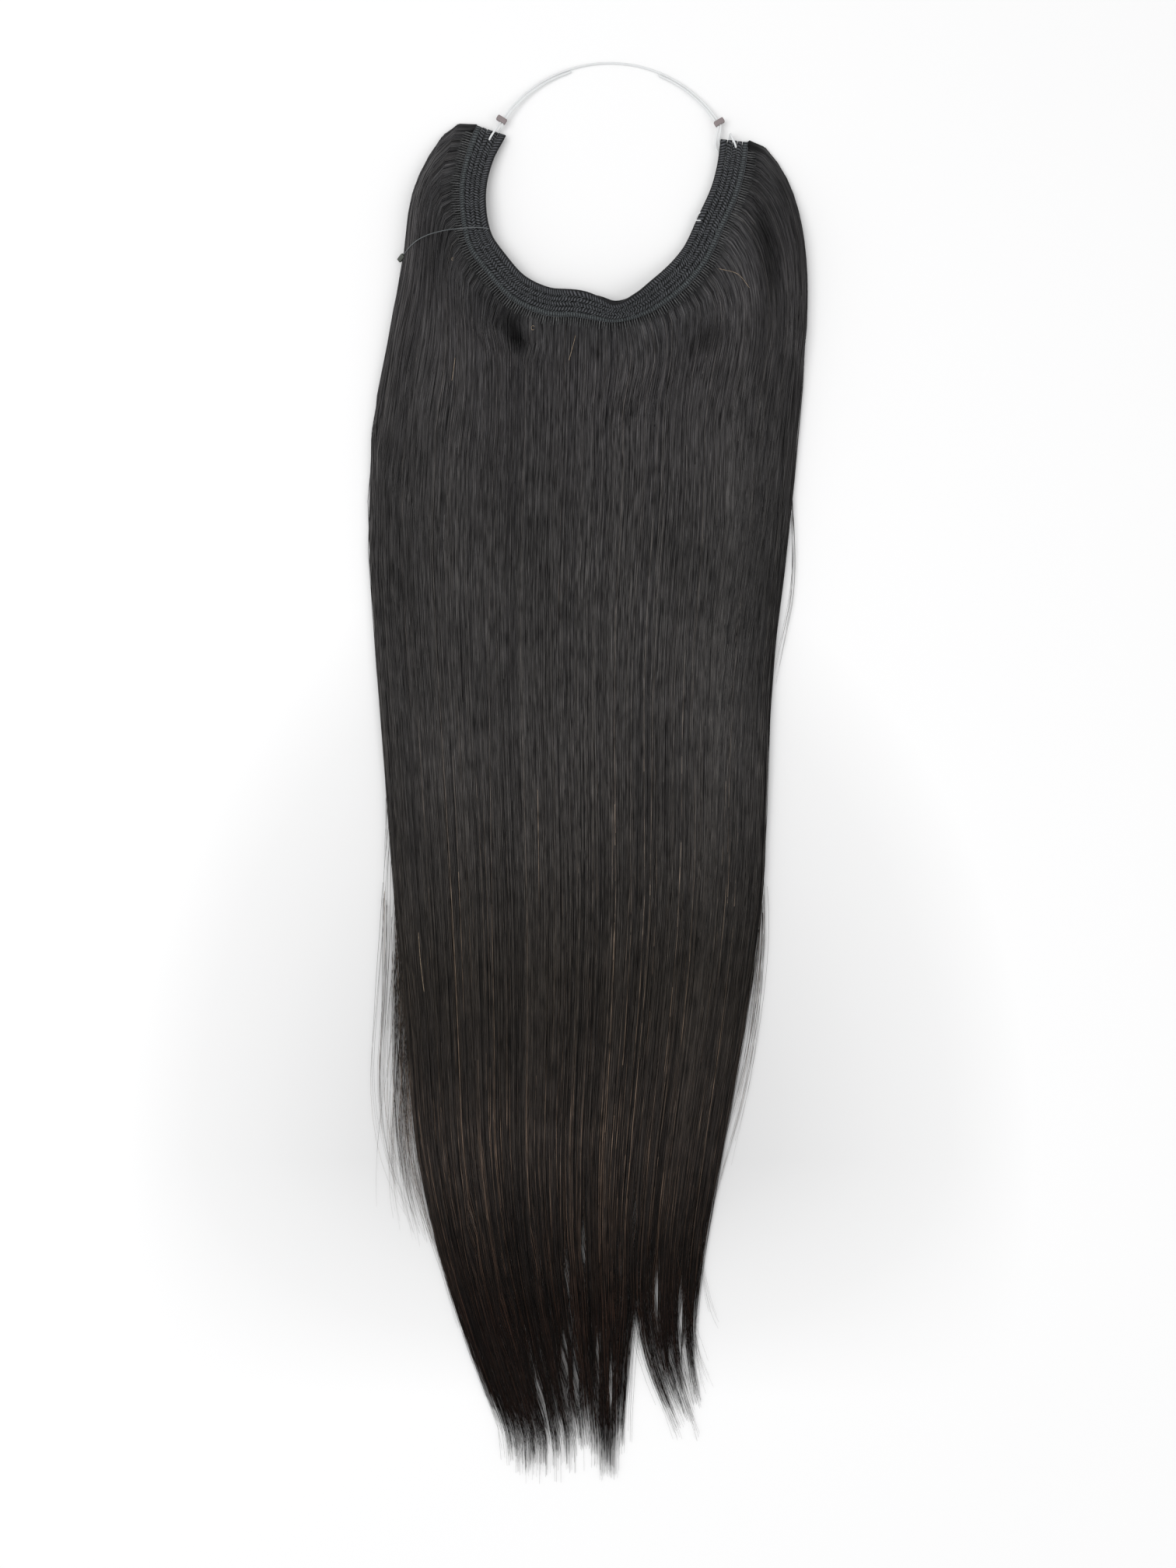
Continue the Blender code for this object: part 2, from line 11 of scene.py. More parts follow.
import bpy
import numpy as np
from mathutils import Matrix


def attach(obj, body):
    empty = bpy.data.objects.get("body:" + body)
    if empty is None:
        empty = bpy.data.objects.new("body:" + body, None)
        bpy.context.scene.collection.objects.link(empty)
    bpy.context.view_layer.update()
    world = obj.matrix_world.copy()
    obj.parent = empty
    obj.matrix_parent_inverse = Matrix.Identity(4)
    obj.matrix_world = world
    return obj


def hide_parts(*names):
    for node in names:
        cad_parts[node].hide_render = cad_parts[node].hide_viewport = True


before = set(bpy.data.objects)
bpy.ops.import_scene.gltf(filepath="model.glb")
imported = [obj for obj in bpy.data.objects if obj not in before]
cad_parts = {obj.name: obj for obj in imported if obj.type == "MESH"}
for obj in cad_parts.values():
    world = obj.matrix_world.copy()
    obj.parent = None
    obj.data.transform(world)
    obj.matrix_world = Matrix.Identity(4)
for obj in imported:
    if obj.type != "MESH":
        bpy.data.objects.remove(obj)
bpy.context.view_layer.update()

dice = np.random.default_rng(27)
print("solids in the frame:", ", ".join(sorted(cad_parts)))

# %% [markdown]
# ## Camera
#
# The photograph looks straight down, so the camera hangs over the middle of the picture and its up
# side is +Y. One picture pixel is 0.42 mm of table, which fixes how high a 50 mm lens has to hang.

# %% Camera
PICTURE = np.array([1512.0, 2016.0])
PIXEL = 0.00042
ORIGIN_PIXEL = np.array([772.0, 230.0])
LENS, SENSOR = 50.0, 36.0
MEAN_HEIGHT = 0.006

middle = (PICTURE / 2 - ORIGIN_PIXEL) * PIXEL * (1, -1)
camera = bpy.data.objects.new("camera", bpy.data.cameras.new("camera"))
camera.data.lens = LENS
camera.data.sensor_width = SENSOR
camera.location = (*middle, PICTURE[1] * PIXEL * LENS / SENSOR + MEAN_HEIGHT)
bpy.context.scene.collection.objects.link(camera)
bpy.context.scene.camera = camera
bpy.context.scene.view_settings.view_transform = "Standard"
print("camera", [round(v, 3) for v in camera.location])

# %% [markdown]
# ## Building blocks
#
# Almost every piece is a tube: a ring of points carried along a line. With numpy all rings of all
# tubes are worked out in one go, and `foreach_set` hands them to Blender. `smooth` reads a short
# table as a soft curve, which is how the measured outlines become shapes.


# %% Helpers for lines and tubes
def smooth(knots, values, at):
    """Cubic pieces through the values at the knots; each knot's slope joins its two neighbours."""
    knots = np.asarray(knots, float)
    values = np.asarray(values, float)
    at = np.clip(np.asarray(at, float), knots[0], knots[-1])
    flat = values.reshape(len(knots), -1)
    slopes = np.gradient(flat, knots, axis=0)
    part = np.clip(np.searchsorted(knots, at, side="right") - 1, 0, len(knots) - 2)
    step = (knots[part + 1] - knots[part])[..., None]
    u = ((at - knots[part])[..., None]) / step
    start = flat[part] * (1 + 2 * u) * (1 - u) ** 2 + slopes[part] * step * u * (1 - u) ** 2
    end = flat[part + 1] * (3 - 2 * u) * u**2 - slopes[part + 1] * step * (1 - u) * u**2
    return (start + end).reshape(at.shape + values.shape[1:])


def run_along(lines):
    """Distance run along each line of points (the last two axes are point and coordinate)."""
    steps = np.linalg.norm(np.diff(lines, axis=-2), axis=-1)
    return np.concatenate([np.zeros_like(steps[..., :1]), np.cumsum(steps, axis=-1)], axis=-1)


def smooth_route(points, count):
    """A smooth line through a route's few points, with this many points at even distances."""
    points = np.array(points, float)
    knots = run_along(points)
    return smooth(knots, points, np.linspace(0, knots[-1], count))


def rings_mesh(name, rings, attributes=()):
    """Closed bodies from rings of points: rings[body, station, corner] is joined to the next
    station's, and the first and last ring are closed by a flat cap. Faces point outwards. An
    attribute has a value for each station, or for each corner of each station."""
    bodies, stations, corners, _ = rings.shape
    index = np.arange(bodies * stations * corners).reshape(bodies, stations, corners)
    turned = np.roll(index, -1, axis=2)
    sides = np.stack([index[:, :-1], index[:, 1:], turned[:, 1:], turned[:, :-1]], axis=-1)
    sides = sides.reshape(-1, 4)
    caps = np.concatenate([index[:, 0], index[:, -1, ::-1]])
    points = rings.reshape(-1, 3)
    a, b, c, d = (points[sides[:, i]] for i in range(4))
    volume = np.einsum("ij,ij->", a, np.cross(b, c)) + np.einsum("ij,ij->", a, np.cross(c, d))
    if volume < 0:
        sides, caps = sides[:, ::-1], caps[:, ::-1]
    corners_of = np.concatenate([sides.ravel(), caps.ravel()]).astype(np.int32)
    totals = np.concatenate([np.full(len(sides), 4), np.full(len(caps), corners)])
    starts = np.concatenate([[0], np.cumsum(totals)[:-1]]).astype(np.int32)
    mesh = bpy.data.meshes.new(name)
    mesh.vertices.add(len(points))
    mesh.vertices.foreach_set("co", points.astype(np.float32).ravel())
    mesh.loops.add(len(corners_of))
    mesh.loops.foreach_set("vertex_index", corners_of)
    mesh.polygons.add(len(totals))
    mesh.polygons.foreach_set("loop_start", starts)
    mesh.update(calc_edges=True)
    for label, values in attributes:
        if values.ndim == 2:
            values = np.repeat(values[:, :, None], corners, axis=2)
        layer = mesh.attributes.new(label, "FLOAT", "POINT")
        layer.data.foreach_set("value", values.astype(np.float32).ravel())
    mesh.shade_smooth()
    return mesh


def tube_rings(lines, radii, corners, flatness=1.0):
    """Rings round lines[body, station]: each ring is a circle square to the line, or an oval when
    flatness, its height over its width, isn't 1."""
    tangents = np.gradient(lines, axis=1)
    tangents /= np.linalg.norm(tangents, axis=2, keepdims=True)
    across = np.cross(tangents, (0.0, 0.0, 1.0))
    upright = np.linalg.norm(across, axis=2, keepdims=True) < 0.05
    across = np.where(upright, (1.0, 0.0, 0.0), across)
    across /= np.linalg.norm(across, axis=2, keepdims=True)
    above = np.cross(across, tangents)
    turn = np.arange(corners) * 2 * np.pi / corners
    circle = (
        across[:, :, None] * np.cos(turn)[:, None]
        + above[:, :, None] * np.sin(turn)[:, None] * flatness
    )
    return lines[:, :, None] + circle * radii[:, :, None, None]


def add_piece(mesh, material, slot, *nodes):
    """Put a finished mesh in the scene: it rides on the root body and stands for these solids. Its
    slot is not used."""
    piece = bpy.data.objects.new(mesh.name, mesh)
    bpy.context.scene.collection.objects.link(piece)
    mesh.materials.append(material)
    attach(piece, "root")
    if nodes:
        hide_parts(*nodes)
    triangles = sum(len(face.vertices) - 2 for face in mesh.polygons)
    print(f"{piece.name}: {triangles} triangles")
    return piece


# %% [markdown]
# ## Finishes
#
# Finishes are small trees of shader nodes. `new_node` makes a node and fills its inputs: a number or
# colour is set there, and another node's output is linked. Two node groups hold the effects that
# several finishes share: streaks that run along a hair, and the mottle of worn cotton.

# %% Shared effects
STREAK_SLOWNESS = 0.045
STREAK_LOW, STREAK_HIGH = 0.30, 0.70
MOTTLE_GAIN = 3.0


def fill_inputs(tree, node, inputs):
    """Fill a node's inputs with constants, or link them to other nodes' outputs."""
    for label, value in inputs.items():
        if isinstance(value, bpy.types.NodeSocket):
            tree.links.new(value, node.inputs[label])
        else:
            node.inputs[label].default_value = value


def new_node(tree, kind, inputs, operation=None):
    """A shader node of this kind with its inputs filled."""
    node = tree.nodes.new("ShaderNode" + kind)
    if operation:
        node.operation = operation
    fill_inputs(tree, node, inputs)
    return node


def new_group(name, inputs, output):
    """An empty node group with these number inputs and one number output."""
    group = bpy.data.node_groups.new(name, "ShaderNodeTree")
    for label, value in inputs:
        socket = group.interface.new_socket(label, in_out="INPUT", socket_type="NodeSocketFloat")
        socket.default_value = value
    group.interface.new_socket(output, in_out="OUTPUT", socket_type="NodeSocketFloat")
    return group, group.nodes.new("NodeGroupInput").outputs, group.nodes.new("NodeGroupOutput")


def streaks_group():
    """Noise that is long along the hair and fine across it: a factor round 1, by Amount up or down.
    Across and Along are distances on the hair, in metres."""
    inputs = (("Across", 0.0), ("Along", 0.0), ("Fineness", 900.0), ("Amount", 0.2))
    group, given, result = new_group("hair_streaks", inputs, "Factor")
    slow = new_node(group, "Math", {0: given["Along"], 1: STREAK_SLOWNESS}, "MULTIPLY")
    place = new_node(group, "CombineXYZ", {"X": given["Across"], "Y": slow.outputs["Value"]})
    noise = {"Vector": place.outputs["Vector"], "Scale": given["Fineness"], "Detail": 2.0}
    low = new_node(group, "Math", {0: 1.0, 1: given["Amount"]}, "SUBTRACT")
    high = new_node(group, "Math", {0: 1.0, 1: given["Amount"]}, "ADD")
    spread = {
        "Value": new_node(group, "TexNoise", noise).outputs["Fac"],
        "From Min": STREAK_LOW,
        "From Max": STREAK_HIGH,
        "To Min": low.outputs["Value"],
        "To Max": high.outputs["Value"],
    }
    factor = new_node(group, "MapRange", spread).outputs["Result"]
    fill_inputs(group, result, {"Factor": factor})
    return group


def mottle_group():
    """Cloudy noise of cotton, at Fineness per metre: a factor round 1, which is
    1 + MOTTLE_GAIN * Amount * (noise - 0.5)."""
    inputs = (("Fineness", 1500.0), ("Amount", 0.3))
    group, given, result = new_group("cotton_mottle", inputs, "Factor")
    place = new_node(group, "TexCoord", {}).outputs["Object"]
    noise = {"Vector": place, "Scale": given["Fineness"], "Detail": 4.0}
    noise = new_node(group, "TexNoise", noise).outputs["Fac"]
    centred = new_node(group, "Math", {0: noise, 1: 0.5}, "SUBTRACT").outputs["Value"]
    part = new_node(group, "Math", {0: centred, 1: given["Amount"]}, "MULTIPLY").outputs["Value"]
    factor = new_node(group, "Math", {0: part, 1: MOTTLE_GAIN, 2: 1.0}, "MULTIPLY_ADD")
    fill_inputs(group, result, {"Factor": factor.outputs["Value"]})
    return group


STREAKS = streaks_group()
MOTTLE = mottle_group()
print("shared effects:", STREAKS.name, MOTTLE.name)

# %% [markdown]
# The next helpers each add one step to a material's tree: an attribute of the mesh, a number times a
# factor, a colour ramp, a colour times a number, and relief.


# %% Helpers for materials
def new_material(name, roughness, specular):
    """A material, its tree and its Principled shader, whose even values sit on its own sockets."""
    material = bpy.data.materials.new(name)
    material.use_nodes = True
    tree = material.node_tree
    shader = tree.nodes["Principled BSDF"]
    fill_inputs(tree, shader, {"Roughness": roughness, "Specular IOR Level": specular})
    return material, tree, shader


def place_group(tree, group, **inputs):
    """The factor of a shared effect, placed in a tree with its own inputs."""
    node = tree.nodes.new("ShaderNodeGroup")
    node.node_tree = group
    fill_inputs(tree, node, inputs)
    return node.outputs["Factor"]


def attribute(tree, label):
    """The number that the mesh carries under this label."""
    node = new_node(tree, "Attribute", {})
    node.attribute_name = label
    return node.outputs["Fac"]


def scaled(tree, value, factor, offset=0.0):
    """A number times a factor, plus an offset."""
    inputs = {0: value, 1: factor, 2: offset}
    return new_node(tree, "Math", inputs, "MULTIPLY_ADD").outputs["Value"]


def ramp(tree, factor, stops):
    """Colours by a factor: stops are (place, colour) pairs."""
    node = new_node(tree, "ValToRGB", {"Fac": factor})
    while len(node.color_ramp.elements) < len(stops):
        node.color_ramp.elements.new(0.5)
    for element, (place, colour) in zip(node.color_ramp.elements, stops):
        element.position = place
        element.color = (*colour, 1.0)
    return node.outputs["Color"]


def times(tree, colour, factor):
    """A colour made lighter or darker by a number."""
    return new_node(tree, "VectorMath", {0: colour, "Scale": factor}, "SCALE").outputs["Vector"]


def bump_from(tree, shader, height, distance):
    """Relief of this depth from a height between 0 and 1."""
    bump = new_node(tree, "Bump", {"Height": height, "Distance": distance})
    fill_inputs(tree, shader, {"Normal": bump.outputs["Normal"]})


# %% [markdown]
# ### Hair colour
#
# The hair is black-brown: neutral near the roots, warmer in the middle and almost black at the tips.
# In the first few millimetres from the root it is darker: painted shade between the root bundles.
# Its mesh carries four numbers: `along`, from 0 at the root to 1 at the tip, `tone`, how light the
# strand is there, `share`, its share of the way round the band, and `shade`, the light lost in
# hollows. The colour along the hair is multiplied by the tone, by streaks, by broad lighter and
# darker patches of painted sheen, and by the light left.

# %% Hair finish
# The first three stops, darker at the very root, are painted shade between the root bundles.
HAIR_STOPS = (
    (0.000, (0.0260, 0.0265, 0.0270)),
    (0.004, (0.0440, 0.0445, 0.0450)),
    (0.008, (0.0700, 0.0690, 0.0700)),
    (0.050, (0.0690, 0.0660, 0.0665)),
    (0.200, (0.0590, 0.0565, 0.0550)),
    (0.370, (0.0640, 0.0605, 0.0580)),
    (0.580, (0.0320, 0.0275, 0.0235)),
    (0.730, (0.0360, 0.0297, 0.0260)),
    (0.820, (0.0150, 0.0112, 0.0094)),
    (0.875, (0.0090, 0.0054, 0.0042)),
    (1.000, (0.0060, 0.0034, 0.0027)),
)
TONE_STOPS = (
    (0.00, (0.20, 0.20, 0.21)),
    (0.15, (0.50, 0.50, 0.53)),
    (0.30, (0.76, 0.76, 0.79)),
    (0.45, (0.93, 0.92, 0.93)),
    (0.60, (1.09, 1.09, 1.10)),
    (0.75, (1.24, 1.21, 1.19)),
    (0.86, (1.46, 1.40, 1.35)),
    (0.97, (2.40, 2.12, 1.90)),
    (1.00, (4.60, 3.90, 3.30)),
)
HAIR_LENGTH = 0.610
HAIR_SPAN = 0.240
HAIR_SPECULAR = 0.10
STREAK_FINENESS = 1900.0
# How fine the broad patches of painted sheen on the hair are, per metre.
SHEEN_CLOUD_FINENESS = 16.0


def hair_material(name, streaks, sheen_clouds, roughness):
    """Hair colour along the strand, times its tone, times streaks and broad patches of painted
    sheen, less where it lies in a hollow.
    """
    material, tree, shader = new_material(name, roughness, HAIR_SPECULAR)
    run = attribute(tree, "along")
    along = ramp(tree, run, HAIR_STOPS)
    tone = ramp(tree, attribute(tree, "tone"), TONE_STOPS)
    colour = new_node(tree, "VectorMath", {0: along, 1: tone}, "MULTIPLY").outputs["Vector"]
    places = {
        "Across": scaled(tree, attribute(tree, "share"), HAIR_SPAN),
        "Along": scaled(tree, run, HAIR_LENGTH),
    }
    streak = place_group(tree, STREAKS, **places, Fineness=STREAK_FINENESS, Amount=streaks)
    # Broad lighter and darker patches on the hair: painted sheen.
    sheen_cloud = place_group(tree, MOTTLE, Fineness=SHEEN_CLOUD_FINENESS, Amount=sheen_clouds)
    light_left = scaled(tree, attribute(tree, "shade"), -1.0, 1.0)
    for factor in (streak, sheen_cloud, light_left):
        colour = times(tree, colour, factor)
    fill_inputs(tree, shader, {"Base Color": colour})
    return material


strand_finish = hair_material("hair_strand_finish", 0.68, 0.30, 0.34)
core_finish = hair_material("hair_core_finish", 0.60, 0.20, 0.70)
print("hair finishes:", strand_finish.name, core_finish.name)

# %% [markdown]
# ### Cotton, nylon and plastic
#
# The band is slate-black cotton, a little bluer than the hair, and its outer row is lighter. Cotton
# reads an attribute of its mesh: on the band's rows it gives painted shade in the pits between the
# stitches and at the rows' edges, and a painted highlight on the stitches' crowns; on the other
# threads it is their own tone. The wire and thread are clear nylon, the crimps are grey-brown
# sleeves with a satin face, and the thread's stop is dark plastic.

# %% Other finishes
COTTON_MOTTLE, COTTON_GRAIN = 1100.0, 4200.0
CRIMP_GRAIN = 2600.0


def cotton_material(name, dark, light):
    """Cotton between these two colours by an attribute of its mesh, with a mottle: painted shade and
    highlight on the band's rows, a tone elsewhere.
    """
    material, tree, shader = new_material(name, roughness=0.82, specular=0.25)
    stops = ((0.0, dark), (0.25, dark), (1.0, light))
    mottle = place_group(tree, MOTTLE, Fineness=COTTON_MOTTLE, Amount=0.75)
    colour = times(tree, ramp(tree, attribute(tree, "tone_and_painted_shade"), stops), mottle)
    fill_inputs(tree, shader, {"Base Color": colour, "Sheen Weight": 0.06})
    grain = place_group(tree, MOTTLE, Fineness=COTTON_GRAIN, Amount=0.3)
    bump_from(tree, shader, grain, 0.00015)
    return material


def nylon_material(name, tint, transmission, roughness):
    """Clear nylon: it lets some light through and keeps a soft gloss."""
    material, tree, shader = new_material(name, roughness, specular=0.5)
    mottle = place_group(tree, MOTTLE, Fineness=260.0, Amount=0.04)
    clear = {"Transmission Weight": transmission, "IOR": 1.45}
    fill_inputs(tree, shader, {"Base Color": times(tree, tint, mottle), **clear})
    return material


def plastic_material(name, roughness, specular, fineness, amount, stops):
    """Plastic whose colour wanders between the stops with the mottle."""
    material, tree, shader = new_material(name, roughness, specular)
    mottle = place_group(tree, MOTTLE, Fineness=fineness, Amount=amount)
    fill_inputs(tree, shader, {"Base Color": ramp(tree, mottle, stops)})
    return material


def crimp_material():
    """Satin grey-brown with a fine grain and light scuffs."""
    stops = ((0.0, (0.115, 0.100, 0.098)), (0.5, (0.175, 0.165, 0.158)), (1.0, (0.225, 0.185, 0.188)))
    material = plastic_material("crimp_finish", 0.42, 0.45, 900.0, 0.35, stops)
    tree = material.node_tree
    grain = place_group(tree, MOTTLE, Fineness=CRIMP_GRAIN, Amount=0.3)
    bump_from(tree, tree.nodes["Principled BSDF"], grain, 0.0001)
    return material


row_finish = cotton_material("band_cotton", (0.005, 0.0055, 0.0065), (0.092, 0.096, 0.105))
header_finish = cotton_material("header_cotton", (0.016, 0.018, 0.020), (0.088, 0.099, 0.102))
sewing_finish = cotton_material("sewing_cotton", (0.020, 0.022, 0.024), (0.085, 0.092, 0.098))
root_finish = cotton_material("root_hair", (0.060, 0.061, 0.062), (0.125, 0.127, 0.128))
light_finish = cotton_material("light_fibre", (0.24, 0.18, 0.13), (0.40, 0.31, 0.22))
wire_finish = nylon_material("clear_nylon", (0.80, 0.815, 0.82), 0.12, 0.35)
thread_finish = nylon_material("clear_thread", (0.120, 0.130, 0.135), 0.15, 0.30)
crimp_finish = crimp_material()
stop_stops = ((0.0, (0.018, 0.021, 0.017)), (1.0, (0.060, 0.066, 0.056)))
stop_finish = plastic_material("thread_stop_finish", 0.35, 0.5, 700.0, 0.4, stop_stops)
print(len(bpy.data.materials), "materials so far")

# %% [markdown]
# ## The wire and the loose thread
#
# The wire is one clear nylon line. From the hole in the left end of the band it goes over the face
# of the band, through a crimp, over the head, through the other crimp, round the right end and down
# through that end's hole. At both holes it turns back under the band and through the crimp again, and
# its tail lies beside the arc. These routes are the solids' own.

# %% Routes of the wire
WIRE_DIAMETER = 0.0011
FIT_GAP = 0.0003
ARC_RADIUS = 0.0689
ARC_CENTRE = (0.0050, -0.0046)
CRIMP_HEIGHT = 0.0042
ARC_REACH = 54.6
LEFT_BACK = (
    (-0.06020, 0.02120, 0.00405),
    (-0.05988, 0.02170, 0.00260),
    (-0.05910, 0.02293, 0.00200),
    (-0.05650, 0.02500, 0.00200),
    (-0.05450, 0.02690, 0.00240),
    (-0.05350, 0.02860, 0.00340),
    (-0.05286, 0.03025, 0.00420),
    (-0.05200, 0.03160, 0.00420),
)
LEFT_FRONT = (
    (-0.06020, 0.02120, 0.00405),
    (-0.05988, 0.02170, 0.00550),
    (-0.05910, 0.02293, 0.00610),
    (-0.05760, 0.02530, 0.00605),
    (-0.05610, 0.02760, 0.00580),
    (-0.05490, 0.02960, 0.00470),
    (-0.05406, 0.03095, 0.00420),
    (-0.05320, 0.03230, 0.00420),
)
RIGHT_FRONT = (
    (0.06400, 0.03100, 0.00420),
    (0.06483, 0.02963, 0.00420),
    (0.06500, 0.02720, 0.00400),
    (0.06460, 0.02460, 0.00350),
    (0.06420, 0.02200, 0.00290),
    (0.06470, 0.01970, 0.00230),
    (0.06630, 0.01840, 0.00200),
    (0.06820, 0.01900, 0.00200),
    (0.06930, 0.02100, 0.00200),
    (0.06990, 0.02320, 0.00230),
    (0.07020, 0.02450, 0.00330),
    (0.07030, 0.02460, 0.00470),
    (0.07060, 0.02340, 0.00580),
    (0.07130, 0.02160, 0.00605),
    (0.07250, 0.01920, 0.00600),
    (0.07310, 0.01780, 0.00530),
    (0.07330, 0.01730, 0.00400),
)
RIGHT_BACK = (
    (0.07330, 0.01730, 0.00400),
    (0.07300, 0.01660, 0.00270),
    (0.07190, 0.01550, 0.00200),
    (0.06950, 0.01450, 0.00200),
    (0.06600, 0.01450, 0.00200),
    (0.06360, 0.01590, 0.00230),
    (0.06250, 0.01810, 0.00270),
    (0.06240, 0.02080, 0.00320),
    (0.06280, 0.02370, 0.00370),
    (0.06340, 0.02660, 0.00410),
    (0.06363, 0.02893, 0.00420),
    (0.06280, 0.03030, 0.00420),
)
MAIN_ANGLES = (146.2, 138, 126, 114, 102, 90, 78, 66, 54, 42, 32.3)
LEFT_TAIL_ANGLES = (146.2, 137, 127, 117, 108)
RIGHT_TAIL_ANGLES = (32.3, 41, 50, 59, 67)
print("wire routes:", len(LEFT_FRONT) + len(MAIN_ANGLES) + len(RIGHT_FRONT), "points from hole to hole")

# %% [markdown]
# Over the head the wire is a round arc. It rises from the table towards both crimps, and the tails
# lie beside it on a smaller radius.


# %% Wire
def arc_points(angles, radius):
    """Points of the arc: a circle seen from above, sinking from the crimps to lie on the table."""
    turn = np.radians(np.array(angles, float))
    rise = np.clip((np.abs(np.degrees(turn) - 90) / ARC_REACH) ** 2, 0, 1)
    x = ARC_CENTRE[0] + radius * np.cos(turn)
    y = ARC_CENTRE[1] + radius * np.sin(turn)
    return np.column_stack([x, y, WIRE_DIAMETER / 2 + rise * (CRIMP_HEIGHT - WIRE_DIAMETER / 2)])


def nylon_tube(name, route, count, diameter, material, slot, *nodes):
    """A round nylon line along a route, with rounded ends."""
    line = smooth_route(route, count)
    radii = np.full(count, diameter / 2)
    radii[[0, -1]] *= 0.5
    rings = tube_rings(line[None], radii[None], 12)
    return add_piece(rings_mesh(name, rings), material, slot, *nodes), line


def dress_solid(name, material):
    """Give one of the frame's solids this finish."""
    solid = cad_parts[name]
    for place in solid.material_slots:
        place.material = material
    return solid


def wire_tail(side, back, angles):
    """A tail of the wire: back under the band, through the crimp and on beside the arc."""
    route = [*back, *arc_points(angles, ARC_RADIUS - WIRE_DIAMETER - FIT_GAP)]
    return nylon_tube("wire_tail_" + side, route, 150, WIRE_DIAMETER, wire_finish, "clear_wire")[0]


wire_route = [*LEFT_FRONT, *arc_points(MAIN_ANGLES, ARC_RADIUS), *RIGHT_FRONT]
wire, wire_line = nylon_tube(
    "wire", wire_route, 360, WIRE_DIAMETER, wire_finish, "clear_wire", "halo_wire"
)
left_tail = wire_tail("left", LEFT_BACK, LEFT_TAIL_ANGLES)
right_tail = wire_tail("right", RIGHT_BACK, RIGHT_TAIL_ANGLES)
crimps = [dress_solid(name, crimp_finish) for name in ("crimp_left", "crimp_right")]
print(f"wire between its two holes: {run_along(wire_line)[-1] * 1000:.0f} mm")

# %% [markdown]
# A thin clear thread comes out of the band, lies over the left flank of the hair and ends in a small
# dark stop just outside it.

# %% Loose thread
THREAD_DIAMETER = 0.0005
THREAD_ROUTE = (
    (-0.05985, -0.02830, 0.01120),
    (-0.06350, -0.02760, 0.01080),
    (-0.06680, -0.02720, 0.00980),
    (-0.07000, -0.02700, 0.00880),
    (-0.07280, -0.02700, 0.00780),
    (-0.07600, -0.02715, 0.00720),
    (-0.07920, -0.02750, 0.00760),
    (-0.08460, -0.02890, 0.00980),
    (-0.08800, -0.03020, 0.01160),
    (-0.09160, -0.03170, 0.01340),
    (-0.09400, -0.03280, 0.01390),
    (-0.09660, -0.03410, 0.01400),
    (-0.09900, -0.03560, 0.01380),
    (-0.10150, -0.03740, 0.01270),
    (-0.10300, -0.03845, 0.01090),
    (-0.10450, -0.03960, 0.00870),
    (-0.10620, -0.04110, 0.00670),
)
thread, thread_line = nylon_tube(
    "thread", THREAD_ROUTE, 90, THREAD_DIAMETER, thread_finish, "clear_thread", "loose_thread"
)
stop = dress_solid("thread_stop", stop_finish)
print(f"loose thread: {run_along(thread_line)[-1] * 1000:.0f} mm")

# %% [markdown]
# ## How the hair falls
#
# Each hair leaves the band square to its outer edge, turns down in a curve and then keeps its place
# between the left and right edge of the fall. So one number, its share of the way round the band,
# gives a whole strand. The tables are the solids' own, as shares of the real sizes, but for small
# changes towards the tips.

# %% Sizes of the band and the hair
BAND_SPAN = 0.156
BAND_DEPTH = 0.105
BAND_WIDTH = 0.0150
BAND_LIFT = 0.0030
ROW_THICKNESS = 0.0020
HAIR_REACH = 0.680
HAIR_THICKNESS = 0.0125
HAIR_EDGE = 0.0012
EDGE_ROUNDING = 0.016
TURN_DROP = 0.085
ROOT_REACH = 0.008
FLANK_CROWDING = 0.05
LOCKS = 16
SPLIT_LOCK = 11
# Columns: across, up (shares of BAND_SPAN and BAND_DEPTH), lean in degrees, share of BAND_WIDTH
ROOT_LINE = np.array([
    (-0.431, 0.280, 0, 1.13),
    (-0.458, 0.160, 8, 1.02),
    (-0.482, 0.008, 15, 1.00),
    (-0.481, -0.160, 25, 1.00),
    (-0.453, -0.352, 24, 1.00),
    (-0.393, -0.474, 30, 1.00),
    (-0.308, -0.612, 27, 1.00),
    (-0.191, -0.690, 28, 1.00),
    (-0.070, -0.702, 31, 1.00),
    (-0.020, -0.714, 34, 1.00),
    (0.042, -0.724, 50, 1.00),
    (0.148, -0.690, 45, 1.00),
    (0.237, -0.620, 24, 1.00),
    (0.361, -0.440, 6, 1.00),
    (0.428, -0.240, 2, 1.00),
    (0.478, -0.070, 0, 1.00),
    (0.501, 0.060, 0, 1.01),
    (0.512, 0.192, 0, 1.00),
])
# Columns: depth (share of HAIR_REACH), left edge, right edge (shares of HAIR_SPAN)
FALL = np.array([
    (0.080, -0.453, 0.469),
    (0.142, -0.490, 0.464),
    (0.204, -0.518, 0.446),
    (0.278, -0.525, 0.429),
    (0.352, -0.513, 0.401),
    (0.451, -0.492, 0.382),
    (0.562, -0.469, 0.371),
    (0.673, -0.442, 0.330),
    (0.784, -0.413, 0.276),
    (0.859, -0.366, 0.240),
    (0.933, -0.298, 0.219),
    (1.000, -0.225, 0.207),
])
# Columns: share of HAIR_LENGTH, share of HAIR_THICKNESS
BULK = np.array([
    (0.000, 0.22),
    (0.012, 0.30),
    (0.035, 0.64),
    (0.080, 1.00),
    (0.150, 0.92),
    (0.300, 0.66),
    (0.500, 0.50),
    (0.700, 0.40),
    (0.850, 0.30),
    (1.000, 0.12),
])
